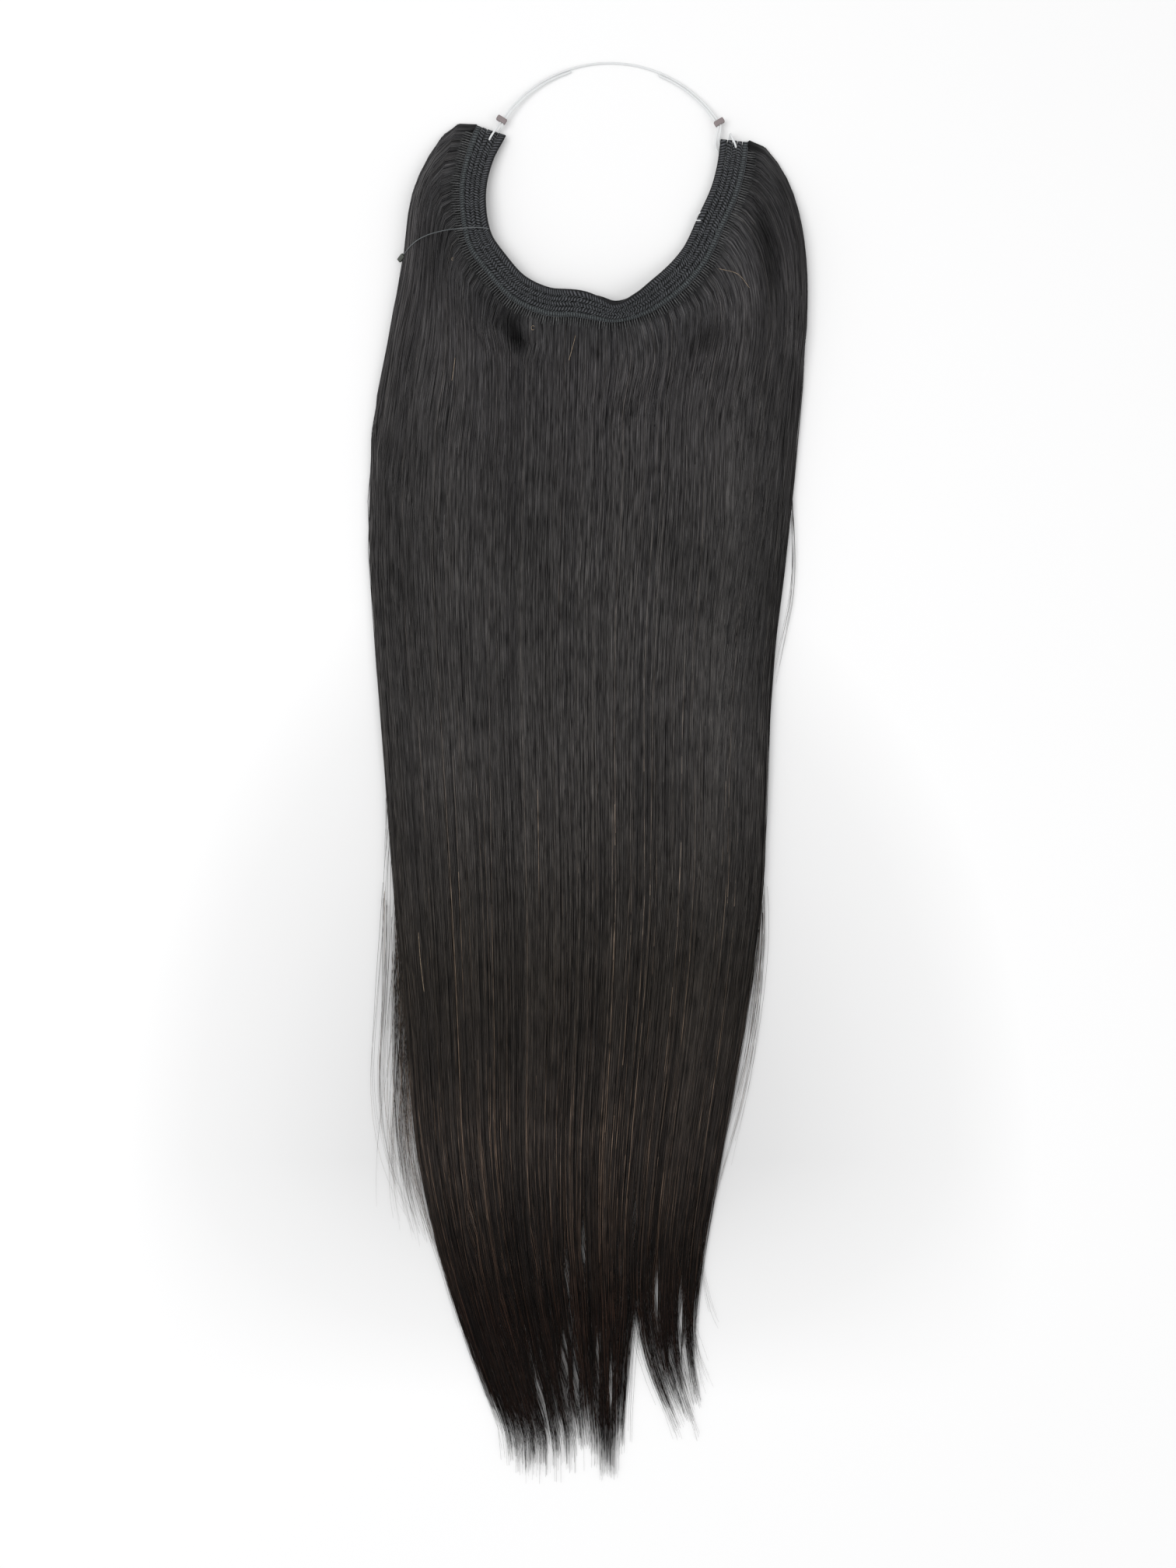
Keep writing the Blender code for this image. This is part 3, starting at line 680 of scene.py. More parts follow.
# How much further than HAIR_LENGTH each lock reaches, as shares of it, left to right
TIP_REACH = np.array([
    0.205, 0.172, 0.138, 0.102, 0.072, 0.046, 0.030, 0.018,
    0.016, 0.018, 0.022, 0.030, 0.056, 0.076, 0.090, 0.098,
])
print("hair of", HAIR_LENGTH, "m in", LOCKS, "locks, on a band", BAND_WIDTH, "m wide")

# %% [markdown]
# Four small tables make the flow uneven, as it is on the real piece. Hollows sink the surface, and
# shades darken it where hair lies deep. Bends push the flow aside near a place, for example round
# the pit where the hair parts. Slits are the places near the tips where the table shows through.

# %% Hollows, shades, bends and slits
# Columns: x, y, half length, half width in metres, turn in degrees, depth in metres
HOLLOWS = (
    (-0.0456, -0.0823, 0.0132, 0.0062, -62, 0.0070),
    (0.0566, -0.0830, 0.0132, 0.0084, 70, 0.0034),
    (0.0924, -0.0272, 0.0216, 0.0048, 105, 0.0030),
    (0.0144, -0.1224, 0.0144, 0.0038, 35, 0.0022),
)
# Columns: x, y, half length, half width in metres, turn in degrees, share of the light lost
SHADES = (
    (-0.0462, -0.0820, 0.0125, 0.0052, -62, 0.90),
    (-0.0570, -0.0730, 0.0150, 0.0100, -45, 0.34),
    (0.0588, -0.0848, 0.0120, 0.0085, 90, 0.50),
    (0.0890, -0.0380, 0.0340, 0.0060, 100, 0.48),
    (0.0850, -0.0900, 0.0450, 0.0060, 80, 0.26),
    (0.0139, -0.1218, 0.0200, 0.0070, 35, 0.30),
    (-0.0890, -0.0420, 0.0220, 0.0075, 75, 0.30),
    (0.0940, -0.1900, 0.1600, 0.0180, 87, 0.36),
    (-0.1100, -0.2200, 0.1500, 0.0160, 91, 0.26),
    (-0.0350, -0.2050, 0.0800, 0.0180, 84, 0.12),
    (0.0950, -0.0060, 0.0420, 0.0250, 105, 0.36),
)
# Columns: x, y, spread, step right, step up, in metres
BENDS = (
    (-0.1010, -0.0080, 0.0260, -0.0034, 0.0004),
    (-0.0780, 0.0240, 0.0110, 0.0010, 0.0022),
    (-0.0650, 0.0260, 0.0070, 0.0000, 0.0014),
    (0.0820, 0.0175, 0.0110, 0.0011, 0.0025),
    (-0.0560, -0.0800, 0.0085, -0.0030, 0.0000),
    (-0.0370, -0.0850, 0.0085, 0.0028, 0.0000),
    (0.0540, -0.0690, 0.0230, 0.0052, -0.0010),
    (0.0230, -0.0960, 0.0160, 0.0034, -0.0006),
    (0.0660, -0.1300, 0.0300, -0.0034, 0.0000),
    (-0.0640, -0.0560, 0.0200, -0.0030, -0.0008),
    (0.0050, -0.1300, 0.0170, -0.0016, 0.0000),
)
# Columns: x, y, half length, half width in metres
SLITS = (
    (-0.0798, -0.5540, 0.0070, 0.0009),
    (-0.0693, -0.5695, 0.0190, 0.0019),
    (-0.0361, -0.5745, 0.0230, 0.0009),
    (-0.0521, -0.6174, 0.0180, 0.0019),
    (-0.0487, -0.6200, 0.0170, 0.0013),
    (-0.0181, -0.5876, 0.0130, 0.0011),
    (-0.0092, -0.5779, 0.0140, 0.0011),
    (0.0185, -0.5640, 0.0140, 0.0013),
    (-0.0193, -0.6410, 0.0150, 0.0019),
    (-0.0134, -0.6500, 0.0120, 0.0015),
    (-0.0017, -0.6430, 0.0160, 0.0010),
    (0.0055, -0.6500, 0.0140, 0.0010),
    (-0.0330, -0.6560, 0.0100, 0.0013),
    (0.0302, -0.6044, 0.0210, 0.0010),
    (0.0433, -0.6120, 0.0220, 0.0011),
    (0.0455, -0.6400, 0.0090, 0.0017),
    (0.0390, -0.6440, 0.0100, 0.0017),
)
print(len(HOLLOWS), "hollows,", len(SHADES), "shades,", len(BENDS), "bends,", len(SLITS), "slits")

# %% [markdown]
# These tables act on plans, which are places seen from above. A spot fades like a hill on all sides,
# a bend carries the flow along with it, and a slit pushes the hair aside from its middle line.


# %% Helpers for the uneven flow
SLIT_REACH = 0.0028
ROOT_DEPTH = 0.078


def spots(plan, table):
    """Sum of a table's oval spots at these places: each is its strength times exp(-r squared), with
    r measured in half lengths and half widths of the turned oval."""
    total = np.zeros(plan.shape[:-1])
    for x, y, half_length, half_width, turn, strength in table:
        offset = plan - (x, y)
        cosine, sine = math.cos(math.radians(turn)), math.sin(math.radians(turn))
        lengthwise = (offset @ np.array([cosine, sine])) / half_length
        sideways = (offset @ np.array([-sine, cosine])) / half_width
        total += strength * np.exp(-(lengthwise**2 + sideways**2))
    return total


def bend_flow(plan):
    """Each bend moves the flow by its step, times exp(-r squared) with r in spreads."""
    moved = plan.copy()
    for x, y, spread, right, up in BENDS:
        near = np.exp(-((plan[..., 0] - x) ** 2 + (plan[..., 1] - y) ** 2) / spread**2)
        moved += near[..., None] * (right, up)
    return moved


def open_slits(plan):
    """Each slit moves the hair on both sides away from its middle line by its half width, times
    exp(-distance / SLIT_REACH), and fades out towards its ends."""
    moved = plan.copy()
    for x, y, half_length, half_width in SLITS:
        aside = plan[..., 0] - x
        fade = np.exp(-np.abs(aside) / SLIT_REACH - ((plan[..., 1] - y) / half_length) ** 2)
        moved[..., 0] += np.sign(aside) * half_width * fade
    return moved


def colour_run(along, plan):
    """Where a place is on the way from root to tip, for the colours: its run along the strand near
    the band, and from there on how far down it hangs, so that colours change at equal heights."""
    hanging = (-plan[..., 1] - ROOT_DEPTH) / HAIR_LENGTH
    return along + (hanging - along) * np.clip(along / 0.35, 0, 1)


# %% [markdown]
# The root line is the band's outer edge, from its left end down and round to its right end. The band
# leans outwards along it, so places on the band follow from a point, a direction and the lean.


# %% Root line
def root_frames(shares):
    """At shares of the root line: its point and outward direction in plan, the direction in which
    the hair is combed out (the outward one averaged over a stretch), the lean and the width."""
    corners = ROOT_LINE[:, :2] * (BAND_SPAN, BAND_DEPTH)
    knots = run_along(corners)
    fine = np.linspace(0, knots[-1], 600)
    line = smooth(knots, corners, fine)
    run = run_along(line)
    at = np.interp(shares, run / run[-1], fine)
    tangent = np.gradient(line, axis=0)
    tangent /= np.linalg.norm(tangent, axis=1)[:, None]
    outward = np.column_stack([tangent[:, 1], -tangent[:, 0]])
    window = np.hanning(161)
    padded = np.pad(outward, ((80, 80), (0, 0)), mode="edge")
    combed = np.column_stack([np.convolve(padded[:, i], window, "valid") for i in (0, 1)])
    combed /= np.linalg.norm(combed, axis=1)[:, None]
    pick = [np.interp(at, fine, values) for values in (*line.T, *outward.T, *combed.T)]
    lean = np.radians(smooth(knots, ROOT_LINE[:, 2], at))
    width = smooth(knots, ROOT_LINE[:, 3], at) * BAND_WIDTH
    point, out, comb = (np.stack(pick[i : i + 2], axis=-1) for i in (0, 2, 4))
    return point, out, comb, lean, width


def band_points(shares, across, height):
    """Points of the leaning band: across from its outer edge, height above its underside."""
    point, out, _, lean, width = root_frames(shares)
    across = across * width / BAND_WIDTH
    inwards = across * np.cos(lean) - height * np.sin(lean)
    level = BAND_LIFT + across * np.sin(lean) + height * np.cos(lean)
    return np.concatenate([point - out * inwards[..., None], level[..., None]], axis=-1)


print("middle of the root line:", root_frames(np.array([0.5]))[0].round(4)[0])

# %% [markdown]
# Below the band a strand keeps its share of the width, down to the tips. A curve joins its root to
# that place. The lock at the right comes apart from the rest near its end and swings out.


# %% Fall
SPLIT_START = 0.605
SPLIT_SWEEP = 0.0080
SPLIT_SWEEP_END = 0.657
SPLIT_GATHER = 0.18
SPLIT_MIDDLE = 0.872
MAIN_PULL = 0.0075
ROOT_SWING = 0.46
FALL_RESERVE = 1.22
CROWN_LEVEL = 0.86
FLANK_RISE = 0.22


def place_in_fall(share, depth, split):
    """Where a strand runs at a depth: its share of the way between the fall's edges, crowded
    towards the flanks. Near the end the split lock narrows and sweeps right, and the main mass
    draws back to the left."""
    edges = smooth(FALL[:, 0] * HAIR_REACH, FALL[:, 1:] * HAIR_SPAN, depth)
    crowded = share - FLANK_CROWDING * np.sin(2 * np.pi * share)
    place = edges[..., 0] + crowded * (edges[..., 1] - edges[..., 0])
    middle = edges[..., 0] + SPLIT_MIDDLE * (edges[..., 1] - edges[..., 0])
    late = np.clip((depth - SPLIT_START) / (SPLIT_SWEEP_END - SPLIT_START), 0, 1.4)
    swept = place + (middle - place) * SPLIT_GATHER * late + SPLIT_SWEEP * late**2
    drawn = place - MAIN_PULL * late * np.clip(share * LOCKS / SPLIT_LOCK, 0, 1) ** 4
    return np.where(split > 0.5, swept, drawn)


def strand_plans(shares, distances, shift):
    """Plans of many strands, at distances[strand, station] from their roots: a Bezier curve from
    the band down to the fall, then the strand's place in the fall, which moves over by its shift."""
    point, _, comb, _, _ = root_frames(shares)
    split = (shares * LOCKS >= SPLIT_LOCK).astype(float)
    join = TURN_DROP - point[:, 1]
    goal = np.column_stack([place_in_fall(shares, join, split), -join])
    below = np.column_stack([place_in_fall(shares, join + ROOT_REACH, split), -join - ROOT_REACH])
    down = (below - goal) / np.linalg.norm(below - goal, axis=1)[:, None]
    reach = (ROOT_REACH + ROOT_SWING * np.abs(goal[:, 0] - point[:, 0]))[:, None]
    t = np.linspace(0, 1, 40)[None, :, None]
    first, last = (point + comb * reach)[:, None], (goal - down * TURN_DROP / 2)[:, None]
    curve = (
        point[:, None] * (1 - t) ** 3
        + 3 * first * t * (1 - t) ** 2
        + 3 * last * t**2 * (1 - t)
        + goal[:, None] * t**3
    )
    fallen = np.linspace(0, FALL_RESERVE * HAIR_LENGTH, 110)[None, 1:]
    eased = np.clip(fallen / (0.5 * HAIR_LENGTH), 0, 1)
    moved = shares[:, None] + shift[:, None] * eased**2 * (3 - 2 * eased)
    depths = join[:, None] + fallen
    fall = np.stack([place_in_fall(moved, depths, split[:, None]), -depths], axis=-1)
    lines = np.concatenate([curve, fall], axis=1)
    run = run_along(lines)
    before = (run[:, None, :] <= distances[:, :, None]).sum(axis=2) - 1
    before = np.clip(before, 0, run.shape[1] - 2)
    low, high = (np.take_along_axis(run, before + k, axis=1) for k in (0, 1))
    share = ((distances - low) / (high - low))[..., None]
    ends = [np.take_along_axis(lines, (before + k)[..., None], axis=1) for k in (0, 1)]
    return ends[0] * (1 - share) + ends[1] * share


def hair_top(plan, along, shares):
    """Height of the hair's upper side, as in the solid: bulk along the length, more over the
    flanks, rounded off at the outer edges and lowered by the hollows."""
    edges = smooth(FALL[:, 0] * HAIR_REACH, FALL[:, 1:] * HAIR_SPAN, -plan[..., 1])
    place = (plan[..., 0] - edges[..., 0]) / (edges[..., 1] - edges[..., 0])
    flank = np.clip(np.abs(2 * place - 1), 0, 1)
    bulk = HAIR_THICKNESS * smooth(BULK[:, 0], BULK[:, 1], along)
    height = bulk * (CROWN_LEVEL + FLANK_RISE * flank**2)
    height = np.maximum(height - spots(plan, HOLLOWS), HAIR_EDGE)
    room = np.minimum(shares, 1 - shares) * HAIR_SPAN * (0.7 + 0.3 * np.clip(along / 0.1, 0, 1))
    rounding = np.clip(1 - np.clip(room, 0, None) / EDGE_ROUNDING, 0, 1)
    return HAIR_EDGE + (height - HAIR_EDGE) * np.sqrt(1 - rounding**2)


# %% [markdown]
# ## The body of the hair
#
# Under the top hairs lies a dense mass, coloured darker than the strands: painted shade for hair
# that lies deep. Here it is one closed sheet: its upper side follows the fall a little below the
# surface, its underside lies just above the table, and it ends in a thin ragged edge before the
# tips, where the real hair gets thin enough to see through.

# %% Body of the hair
BODY_COLUMNS = 128
BODY_ROWS = 70
BODY_SINK = 0.0014
BODY_SHARE = 0.73
BODY_EDGE = 0.0007
BODY_FLOOR = 0.0003
# Painted shade: the body's hair is given a darker tone than the strands on top.
BODY_SHADED_TONE = 0.22
DEEPEST_SHADE = 0.97


def reach_of(shares):
    """How far each share's strands reach, as a share of HAIR_LENGTH, read smoothly across locks."""
    return 1 + np.interp(shares, (np.arange(LOCKS) + 0.5) / LOCKS, TIP_REACH)


columns = np.linspace(0.006, 0.994, BODY_COLUMNS)
ragged = BODY_SHARE + 0.020 * np.sin(columns * 61) + 0.015 * np.sin(columns * 173)
along = (np.linspace(0, 1, BODY_ROWS)[None] ** 1.5) * ragged[:, None]
plan = bend_flow(strand_plans(columns, along * HAIR_LENGTH, 0 * columns))
sink = BODY_SINK * np.clip(along / 0.03, 0.35, 1)
top = np.maximum(hair_top(plan, along, columns[:, None]) - sink, BODY_EDGE)
top *= np.clip((ragged[:, None] - along) / 0.10, 0.25, 1)
inner = band_points(columns, BAND_WIDTH * 0.88, -FIT_GAP * 2)
halfway = band_points(columns, BAND_WIDTH * 0.45, -FIT_GAP * 2)
ends = (columns < 0.045) | (columns > 0.955)
inner[ends] = halfway[ends] = band_points(columns[ends], BAND_WIDTH * 0.20, -FIT_GAP * 2)
halfway[ends, 2] -= FIT_GAP
upper = np.concatenate([plan, top[..., None]], axis=2)
upper = np.concatenate([inner[:, None], halfway[:, None], upper], axis=1)
lower = upper.copy()
lower[..., 2] = BODY_FLOOR
body_along = np.concatenate([np.zeros((BODY_COLUMNS, 2)), colour_run(along, plan)], axis=1)


def both_sides(values):
    """Values of the upper side and, turned round, of the lower one, in the rings' order."""
    return np.concatenate([values, values[:, ::-1]], axis=1)[None]


body_mesh = rings_mesh(
    "hair_body",
    np.concatenate([upper, lower[:, ::-1]], axis=1)[None],
    (
        ("tone", both_sides(np.full_like(body_along, BODY_SHADED_TONE))),
        ("along", both_sides(body_along)),
        ("share", both_sides(np.repeat(columns[:, None], body_along.shape[1], axis=1))),
        ("shade", both_sides(np.clip(spots(upper[..., :2], SHADES), 0, DEEPEST_SHADE))),
    ),
)
add_piece(body_mesh, core_finish, "hair", "hair")

# %% [markdown]
# ## The strands
#
# What the eye reads as hair is the top layer: thousands of fine tapering strands that follow the
# fall, each a little off its neighbours. Towards the tips they gather into pointed clumps and get
# fewer, so that the table shows between them. Each strand is a three-sided tube, which shades round.

# %% Strands of the fall
BEND_SHARE = 0.17
TIP_SHARE = 0.72
BEND_STATIONS = 12
FALL_STATIONS = 7
TIP_STATIONS = 13
CLUMPS = 54
GATHER_LENGTH = 0.22
LOWEST_HAIR = 0.0006
ROOT_INSET = 0.0014
ROOT_SINK = 0.0006
MIDDLE_TONE = 0.46
clump_gather = dice.uniform(0.25, 0.80, CLUMPS + 1)
clump_start = dice.uniform(0.68, 0.86, CLUMPS + 1)
clump_length = dice.uniform(0.968, 1.008, CLUMPS + 1)
print(CLUMPS + 1, "clumps, gathered from", clump_start.min().round(3), "of the length on")


def clump_of(shares):
    """Number of the clump that a strand joins; the clumps are unevenly wide."""
    uneven = shares * CLUMPS + 0.45 * np.sin(shares * 190) + 0.35 * np.sin(shares * 431)
    return np.clip(np.round(uneven).astype(int), 0, CLUMPS)


def lay_strands(shares, reach, shift, sideways, depth_in, waver):
    """Lines of strands and their runs: reach is a strand's length as a share of HAIR_LENGTH, shift
    how far it moves over in the fall, sideways how far it drifts off by its tip, depth_in how deep
    it lies and waver its slow side-to-side."""
    bend = np.linspace(0, BEND_SHARE, BEND_STATIONS)
    fall = np.linspace(BEND_SHARE, TIP_SHARE, FALL_STATIONS)[1:]
    tip = np.linspace(TIP_SHARE, 1, TIP_STATIONS)[1:]
    station = np.concatenate([bend, fall, tip])[None]
    along = station * reach[:, None]
    clump = clump_of(shares)
    home = np.clip(clump / CLUMPS, 0.01, 0.99)
    split = shares * LOCKS >= SPLIT_LOCK
    edge = SPLIT_LOCK / LOCKS
    home = np.where(split, np.maximum(home, edge + 0.008), np.minimum(home, edge - 0.008))
    plan = strand_plans(shares, along * HAIR_LENGTH, shift)
    centre = strand_plans(home, along * HAIR_LENGTH, shift)
    loose = np.clip((along - clump_start[clump, None]) / GATHER_LENGTH, 0, 1) ** 1.4
    plan = plan + (centre - plan) * (loose * clump_gather[clump, None])[..., None]
    phase = shares[:, None] * 417.0
    inward = np.sign(0.5 - shares) * np.abs(sideways)
    outermost = np.minimum(shares, 1 - shares) < 0.05
    drift = np.where(outermost, inward, sideways)[:, None] * along**1.3
    plan[..., 0] += drift + waver[:, None] * np.sin(phase + along * 9.0) * along**0.5
    plan = open_slits(bend_flow(plan))
    height = hair_top(plan, along, shares[:, None])
    level = height - depth_in[:, None] * np.clip(height / 0.004, 0.15, 1)
    lines = np.concatenate([plan, np.maximum(level, LOWEST_HAIR)[..., None]], axis=2)
    start = band_points(shares, ROOT_INSET, -ROOT_SINK)
    lines = np.concatenate([start[:, None], lines], axis=1)
    return lines, np.concatenate([along[:, :1], along], axis=1)


def strand_mesh(name, lines, along, width, tone, shares):
    """Tapering three-sided tubes: full width at the root, a fine point at the tip. The tones of
    neighbours differ more and more towards the tips, where the hair is worn and thin."""
    end = along / along[:, -1:]
    radii = width[:, None] / 2 * (1 - 0.80 * end**4)
    run = colour_run(along, lines[..., :2])
    contrast = 1 + 0.6 * np.clip((run - 0.25) / 0.30, 0, 1)
    contrast += 1.4 * np.clip((run - 0.62) / 0.20, 0, 1)
    values = (
        ("tone", np.clip(MIDDLE_TONE + (tone[:, None] - MIDDLE_TONE) * contrast, 0, 1)),
        ("along", run),
        ("share", np.broadcast_to(shares[:, None], along.shape)),
        ("shade", np.clip(spots(lines[..., :2], SHADES), 0, DEEPEST_SHADE)),
    )
    return rings_mesh(name, tube_rings(lines, radii, 3), values)


def random_tones(count, light):
    """Tones of strands: mostly middling, and a few much lighter."""
    tone = dice.beta(3.5, 4.5, count)
    return np.where(dice.uniform(0, 1, count) < light, dice.uniform(0.93, 1.0, count), tone)


# %% [markdown]
# The strands are laid in six equal pieces. Some are cut short, and a few cross over their neighbours.
# Their points are kept, because the finer things that lie on the hair need its height.

# %% Laying the strands
STRAND_PIECES = 6
STRANDS_A_PIECE = 700
SHORT_PART, MORE_SHORT_IN_SPLIT = 0.34, 0.3
SHORT_REACH, FULL_REACH = (0.84, 0.98), (0.955, 1.010)
CROSSING_PART, CROSSING_SHIFT, USUAL_SHIFT = 0.08, 0.022, 0.003
laid = []
for number in range(STRAND_PIECES):
    count = STRANDS_A_PIECE
    shares = np.clip((np.arange(count) + dice.uniform(0, 1, count)) / count, 0.0015, 0.9985)
    in_split = shares * LOCKS >= SPLIT_LOCK
    short = dice.uniform(0, 1, count) < SHORT_PART + MORE_SHORT_IN_SPLIT * in_split
    reach = np.where(short, dice.uniform(*SHORT_REACH, count), dice.uniform(*FULL_REACH, count))
    crossing = dice.uniform(0, 1, count) < CROSSING_PART
    far, near = dice.normal(0, CROSSING_SHIFT, count), dice.normal(0, USUAL_SHIFT, count)
    shift = np.where(crossing, far, near)
    shift = np.clip(shares + shift, 0.004, 0.996) - shares
    lines, along_strand = lay_strands(
        shares,
        reach * reach_of(shares) * clump_length[clump_of(shares)],
        shift,
        dice.normal(0, 0.0020, count),
        dice.uniform(0, 0.0016, count),
        dice.normal(0, 0.0005, count),
    )
    mesh = strand_mesh(
        f"hair_strands_{number + 1}",
        lines,
        along_strand,
        dice.uniform(0.00030, 0.00055, count),
        random_tones(count, 0.0012),
        shares,
    )
    add_piece(mesh, strand_finish, "hair")
    laid.append(lines.reshape(-1, 3))
laid = np.concatenate(laid)
print(STRAND_PIECES * STRANDS_A_PIECE, "strands from", len(laid), "points")

# %% [markdown]
# Over the right flank a sheet of hair sweeps in from the shoulder, across the hair that hangs
# straight. It is laid the same way, with a shift that carries it towards the middle as it falls.

# %% Hair that sweeps over the right flank
count = 420
shares = dice.uniform(0.80, 0.985, count)
sweep = -dice.uniform(0.02, 0.16, count) * np.clip((shares - 0.78) / 0.2, 0, 1)
lines, along_strand = lay_strands(
    shares,
    dice.uniform(0.72, 0.98, count) * reach_of(shares + sweep),
    sweep,
    dice.normal(0, 0.0012, count),
    dice.uniform(-0.0003, 0.0004, count),
    dice.normal(0, 0.0006, count),
)
width = dice.uniform(0.0003, 0.0005, count)
sweep_mesh = strand_mesh("hair_sweep", lines, along_strand, width, random_tones(count, 0.0), shares)
add_piece(sweep_mesh, strand_finish, "hair")

# %% [markdown]
# ## Wisps
#
# Some hairs leave the mass. They lie on the table beside it and end on their own. Each wisp is one
# short route, and its hairs start and end at different places on it and spread to both sides.

# %% Routes of the wisps
# Columns: number of hairs, spread in metres, route
WISPS = (
    (11, 0.0030, (
        (-0.1120, -0.3350, 0.0045),
        (-0.1160, -0.3720, 0.0030),
        (-0.1172, -0.4070, 0.0020),
        (-0.1190, -0.4490, 0.0015),
        (-0.1205, -0.4880, 0.0012),
        (-0.1180, -0.5150, 0.0010),
        (-0.1130, -0.5360, 0.0010),
        (-0.1050, -0.5550, 0.0008),
        (-0.0960, -0.5700, 0.0007),
    )),
    (150, 0.0062, (
        (-0.1070, -0.3850, 0.0040),
        (-0.1060, -0.4300, 0.0030),
        (-0.1056, -0.4620, 0.0024),
        (-0.1056, -0.4950, 0.0018),
        (-0.1045, -0.5230, 0.0014),
        (-0.1010, -0.5480, 0.0012),
        (-0.0930, -0.5780, 0.0008),
    )),
    (24, 0.0024, (
        (-0.1100, -0.3600, 0.0045),
        (-0.1108, -0.4100, 0.0030),
        (-0.1120, -0.4550, 0.0020),
        (-0.1110, -0.5000, 0.0015),
    )),
    (5, 0.0008, (
        (-0.1157, -0.3250, 0.0040),
        (-0.1160, -0.3520, 0.0030),
        (-0.1163, -0.3750, 0.0020),
    )),
    (6, 0.0012, (
        (0.1030, -0.1600, 0.0040),
        (0.1046, -0.1910, 0.0030),
        (0.1034, -0.2260, 0.0020),
        (0.0987, -0.2520, 0.0018),
        (0.0930, -0.2800, 0.0020),
    )),
    (16, 0.0026, (
        (0.0880, -0.3600, 0.0030),
        (0.0885, -0.4030, 0.0020),
        (0.0850, -0.4440, 0.0015),
        (0.0804, -0.4750, 0.0012),
        (0.0748, -0.5020, 0.0010),
        (0.0660, -0.5350, 0.0010),
        (0.0600, -0.5600, 0.0008),
    )),
    (5, 0.0010, (
        (0.0540, -0.5550, 0.0030),
        (0.0556, -0.5900, 0.0020),
        (0.0605, -0.6130, 0.0010),
        (0.0714, -0.6330, 0.0008),
    )),
    (14, 0.0030, (
        (0.0420, -0.5800, 0.0030),
        (0.0470, -0.6150, 0.0020),
        (0.0530, -0.6400, 0.0010),
        (0.0600, -0.6620, 0.0008),
    )),
    (10, 0.0018, (
        (-0.1040, -0.5200, 0.0030),
        (-0.0960, -0.5550, 0.0020),
        (-0.0850, -0.5900, 0.0010),
        (-0.0740, -0.6250, 0.0008),
    )),
)
print(len(WISPS), "routes for", sum(wisp[0] for wisp in WISPS), "hairs")

# %% [markdown]
# Chance sets where on its route each hair begins and ends, how far it lies to one side and how it
# bows, so no two hairs of a wisp are alike.

# %% Wisps
WISP_STATIONS = 16


def wisp_lines(count, spread, route):
    """Hairs along a route: each takes a random stretch of it, and moves off to one side."""
    fine = smooth_route(route, 80)
    begin = dice.uniform(0, 0.25, (count, 1))
    end = dice.uniform(0.66, 1.0, (count, 1))
    at = begin + (end - begin) * np.linspace(0, 1, WISP_STATIONS)
    lines = np.stack([np.interp(at, np.linspace(0, 1, 80), fine[:, k]) for k in range(3)], axis=-1)
    bow = dice.uniform(0, 2 * np.pi, (count, 1))
    aside = dice.normal(0, spread, (count, 1)) * (0.2 + at) + 0.35 * spread * np.sin(at * 7 + bow)
    lines[..., 0] += aside
    lines[..., 2] *= dice.uniform(0.7, 1.0, (count, 1))
    return lines


wisps = np.concatenate([wisp_lines(*wisp) for wisp in WISPS])
count = len(wisps)
wisp_along = np.clip((-wisps[..., 1] - ROOT_DEPTH) / HAIR_LENGTH, 0.05, 1)
wisp_mesh = strand_mesh(
    "hair_wisps",
    wisps,
    wisp_along,
    dice.uniform(0.00018, 0.00036, count),
    dice.uniform(0.35, 0.85, count),
    dice.uniform(0, 1, count),
)
add_piece(wisp_mesh, strand_finish, "hair")

# %% [markdown]
# Four single hairs are bleached almost to sand colour, and a few curls of lint lie on the hair.
# Their heights are read from the strands laid below them.

# %% Light hairs and lint
# Columns: places on the hair in plan, from one end to the other
LIGHT_HAIRS = (
    ((-0.0781, -0.0980), (-0.0790, -0.1050), (-0.0798, -0.1100)),
    ((-0.0134, -0.0840), (-0.0148, -0.0900), (-0.0170, -0.0985)),
    ((0.0640, -0.0480), (0.0745, -0.0525), (0.0800, -0.0600)),
    ((-0.0983, -0.4070), (-0.0972, -0.4230), (-0.0953, -0.4390)),
)
# Columns: place in plan, radius of the curl
LINT = ((-0.0365, -0.0800, 0.0009), (-0.0798, -0.0438, 0.0005), (-0.0731, -0.0216, 0.0004))
FIBRE_DIAMETER = 0.00022
HEIGHT_REACH = 0.003


def hair_height(places):
    """Height of the highest strand within HEIGHT_REACH of each place."""
    distance = np.linalg.norm(laid[None, :, :2] - np.asarray(places)[:, None, :2], axis=2)
    return np.where(distance < HEIGHT_REACH, laid[None, :, 2], 0.0).max(axis=1)


fibres = []
for places in LIGHT_HAIRS:
    route = np.column_stack([places, hair_height(places) + 0.0005])
    fibres.append(smooth_route(route, 14))
for x, y, radius in LINT:
    turn = np.linspace(0.4, 5.4, 14)
    level = hair_height([(x, y)])[0] + 0.0006 + 0.0004 * np.sin(turn * 1.5)
    fibres.append(np.column_stack([x + radius * np.cos(turn), y + 1.3 * radius * np.sin(turn), level]))
fibres = np.stack(fibres)
fibre_radii = np.full(fibres.shape[:2], FIBRE_DIAMETER / 2)
fibre_tone = np.full_like(fibre_radii, 0.7)
fibre_mesh = rings_mesh("light_fibres", tube_rings(fibres, fibre_radii, 5), (("tone_and_painted_shade", fibre_tone),))
add_piece(fibre_mesh, light_finish, "hair")

# %% [markdown]
# ## The sewn band
#
# Five rows lie side by side: a folded inner edge, three narrow tracks and a lighter header. Each is
# a strip with a crowned face and a relief of slanting stitches, worked out from the distance along
# the band and the place across the row. Neighbouring rows slant opposite ways, as sewn tracks do.

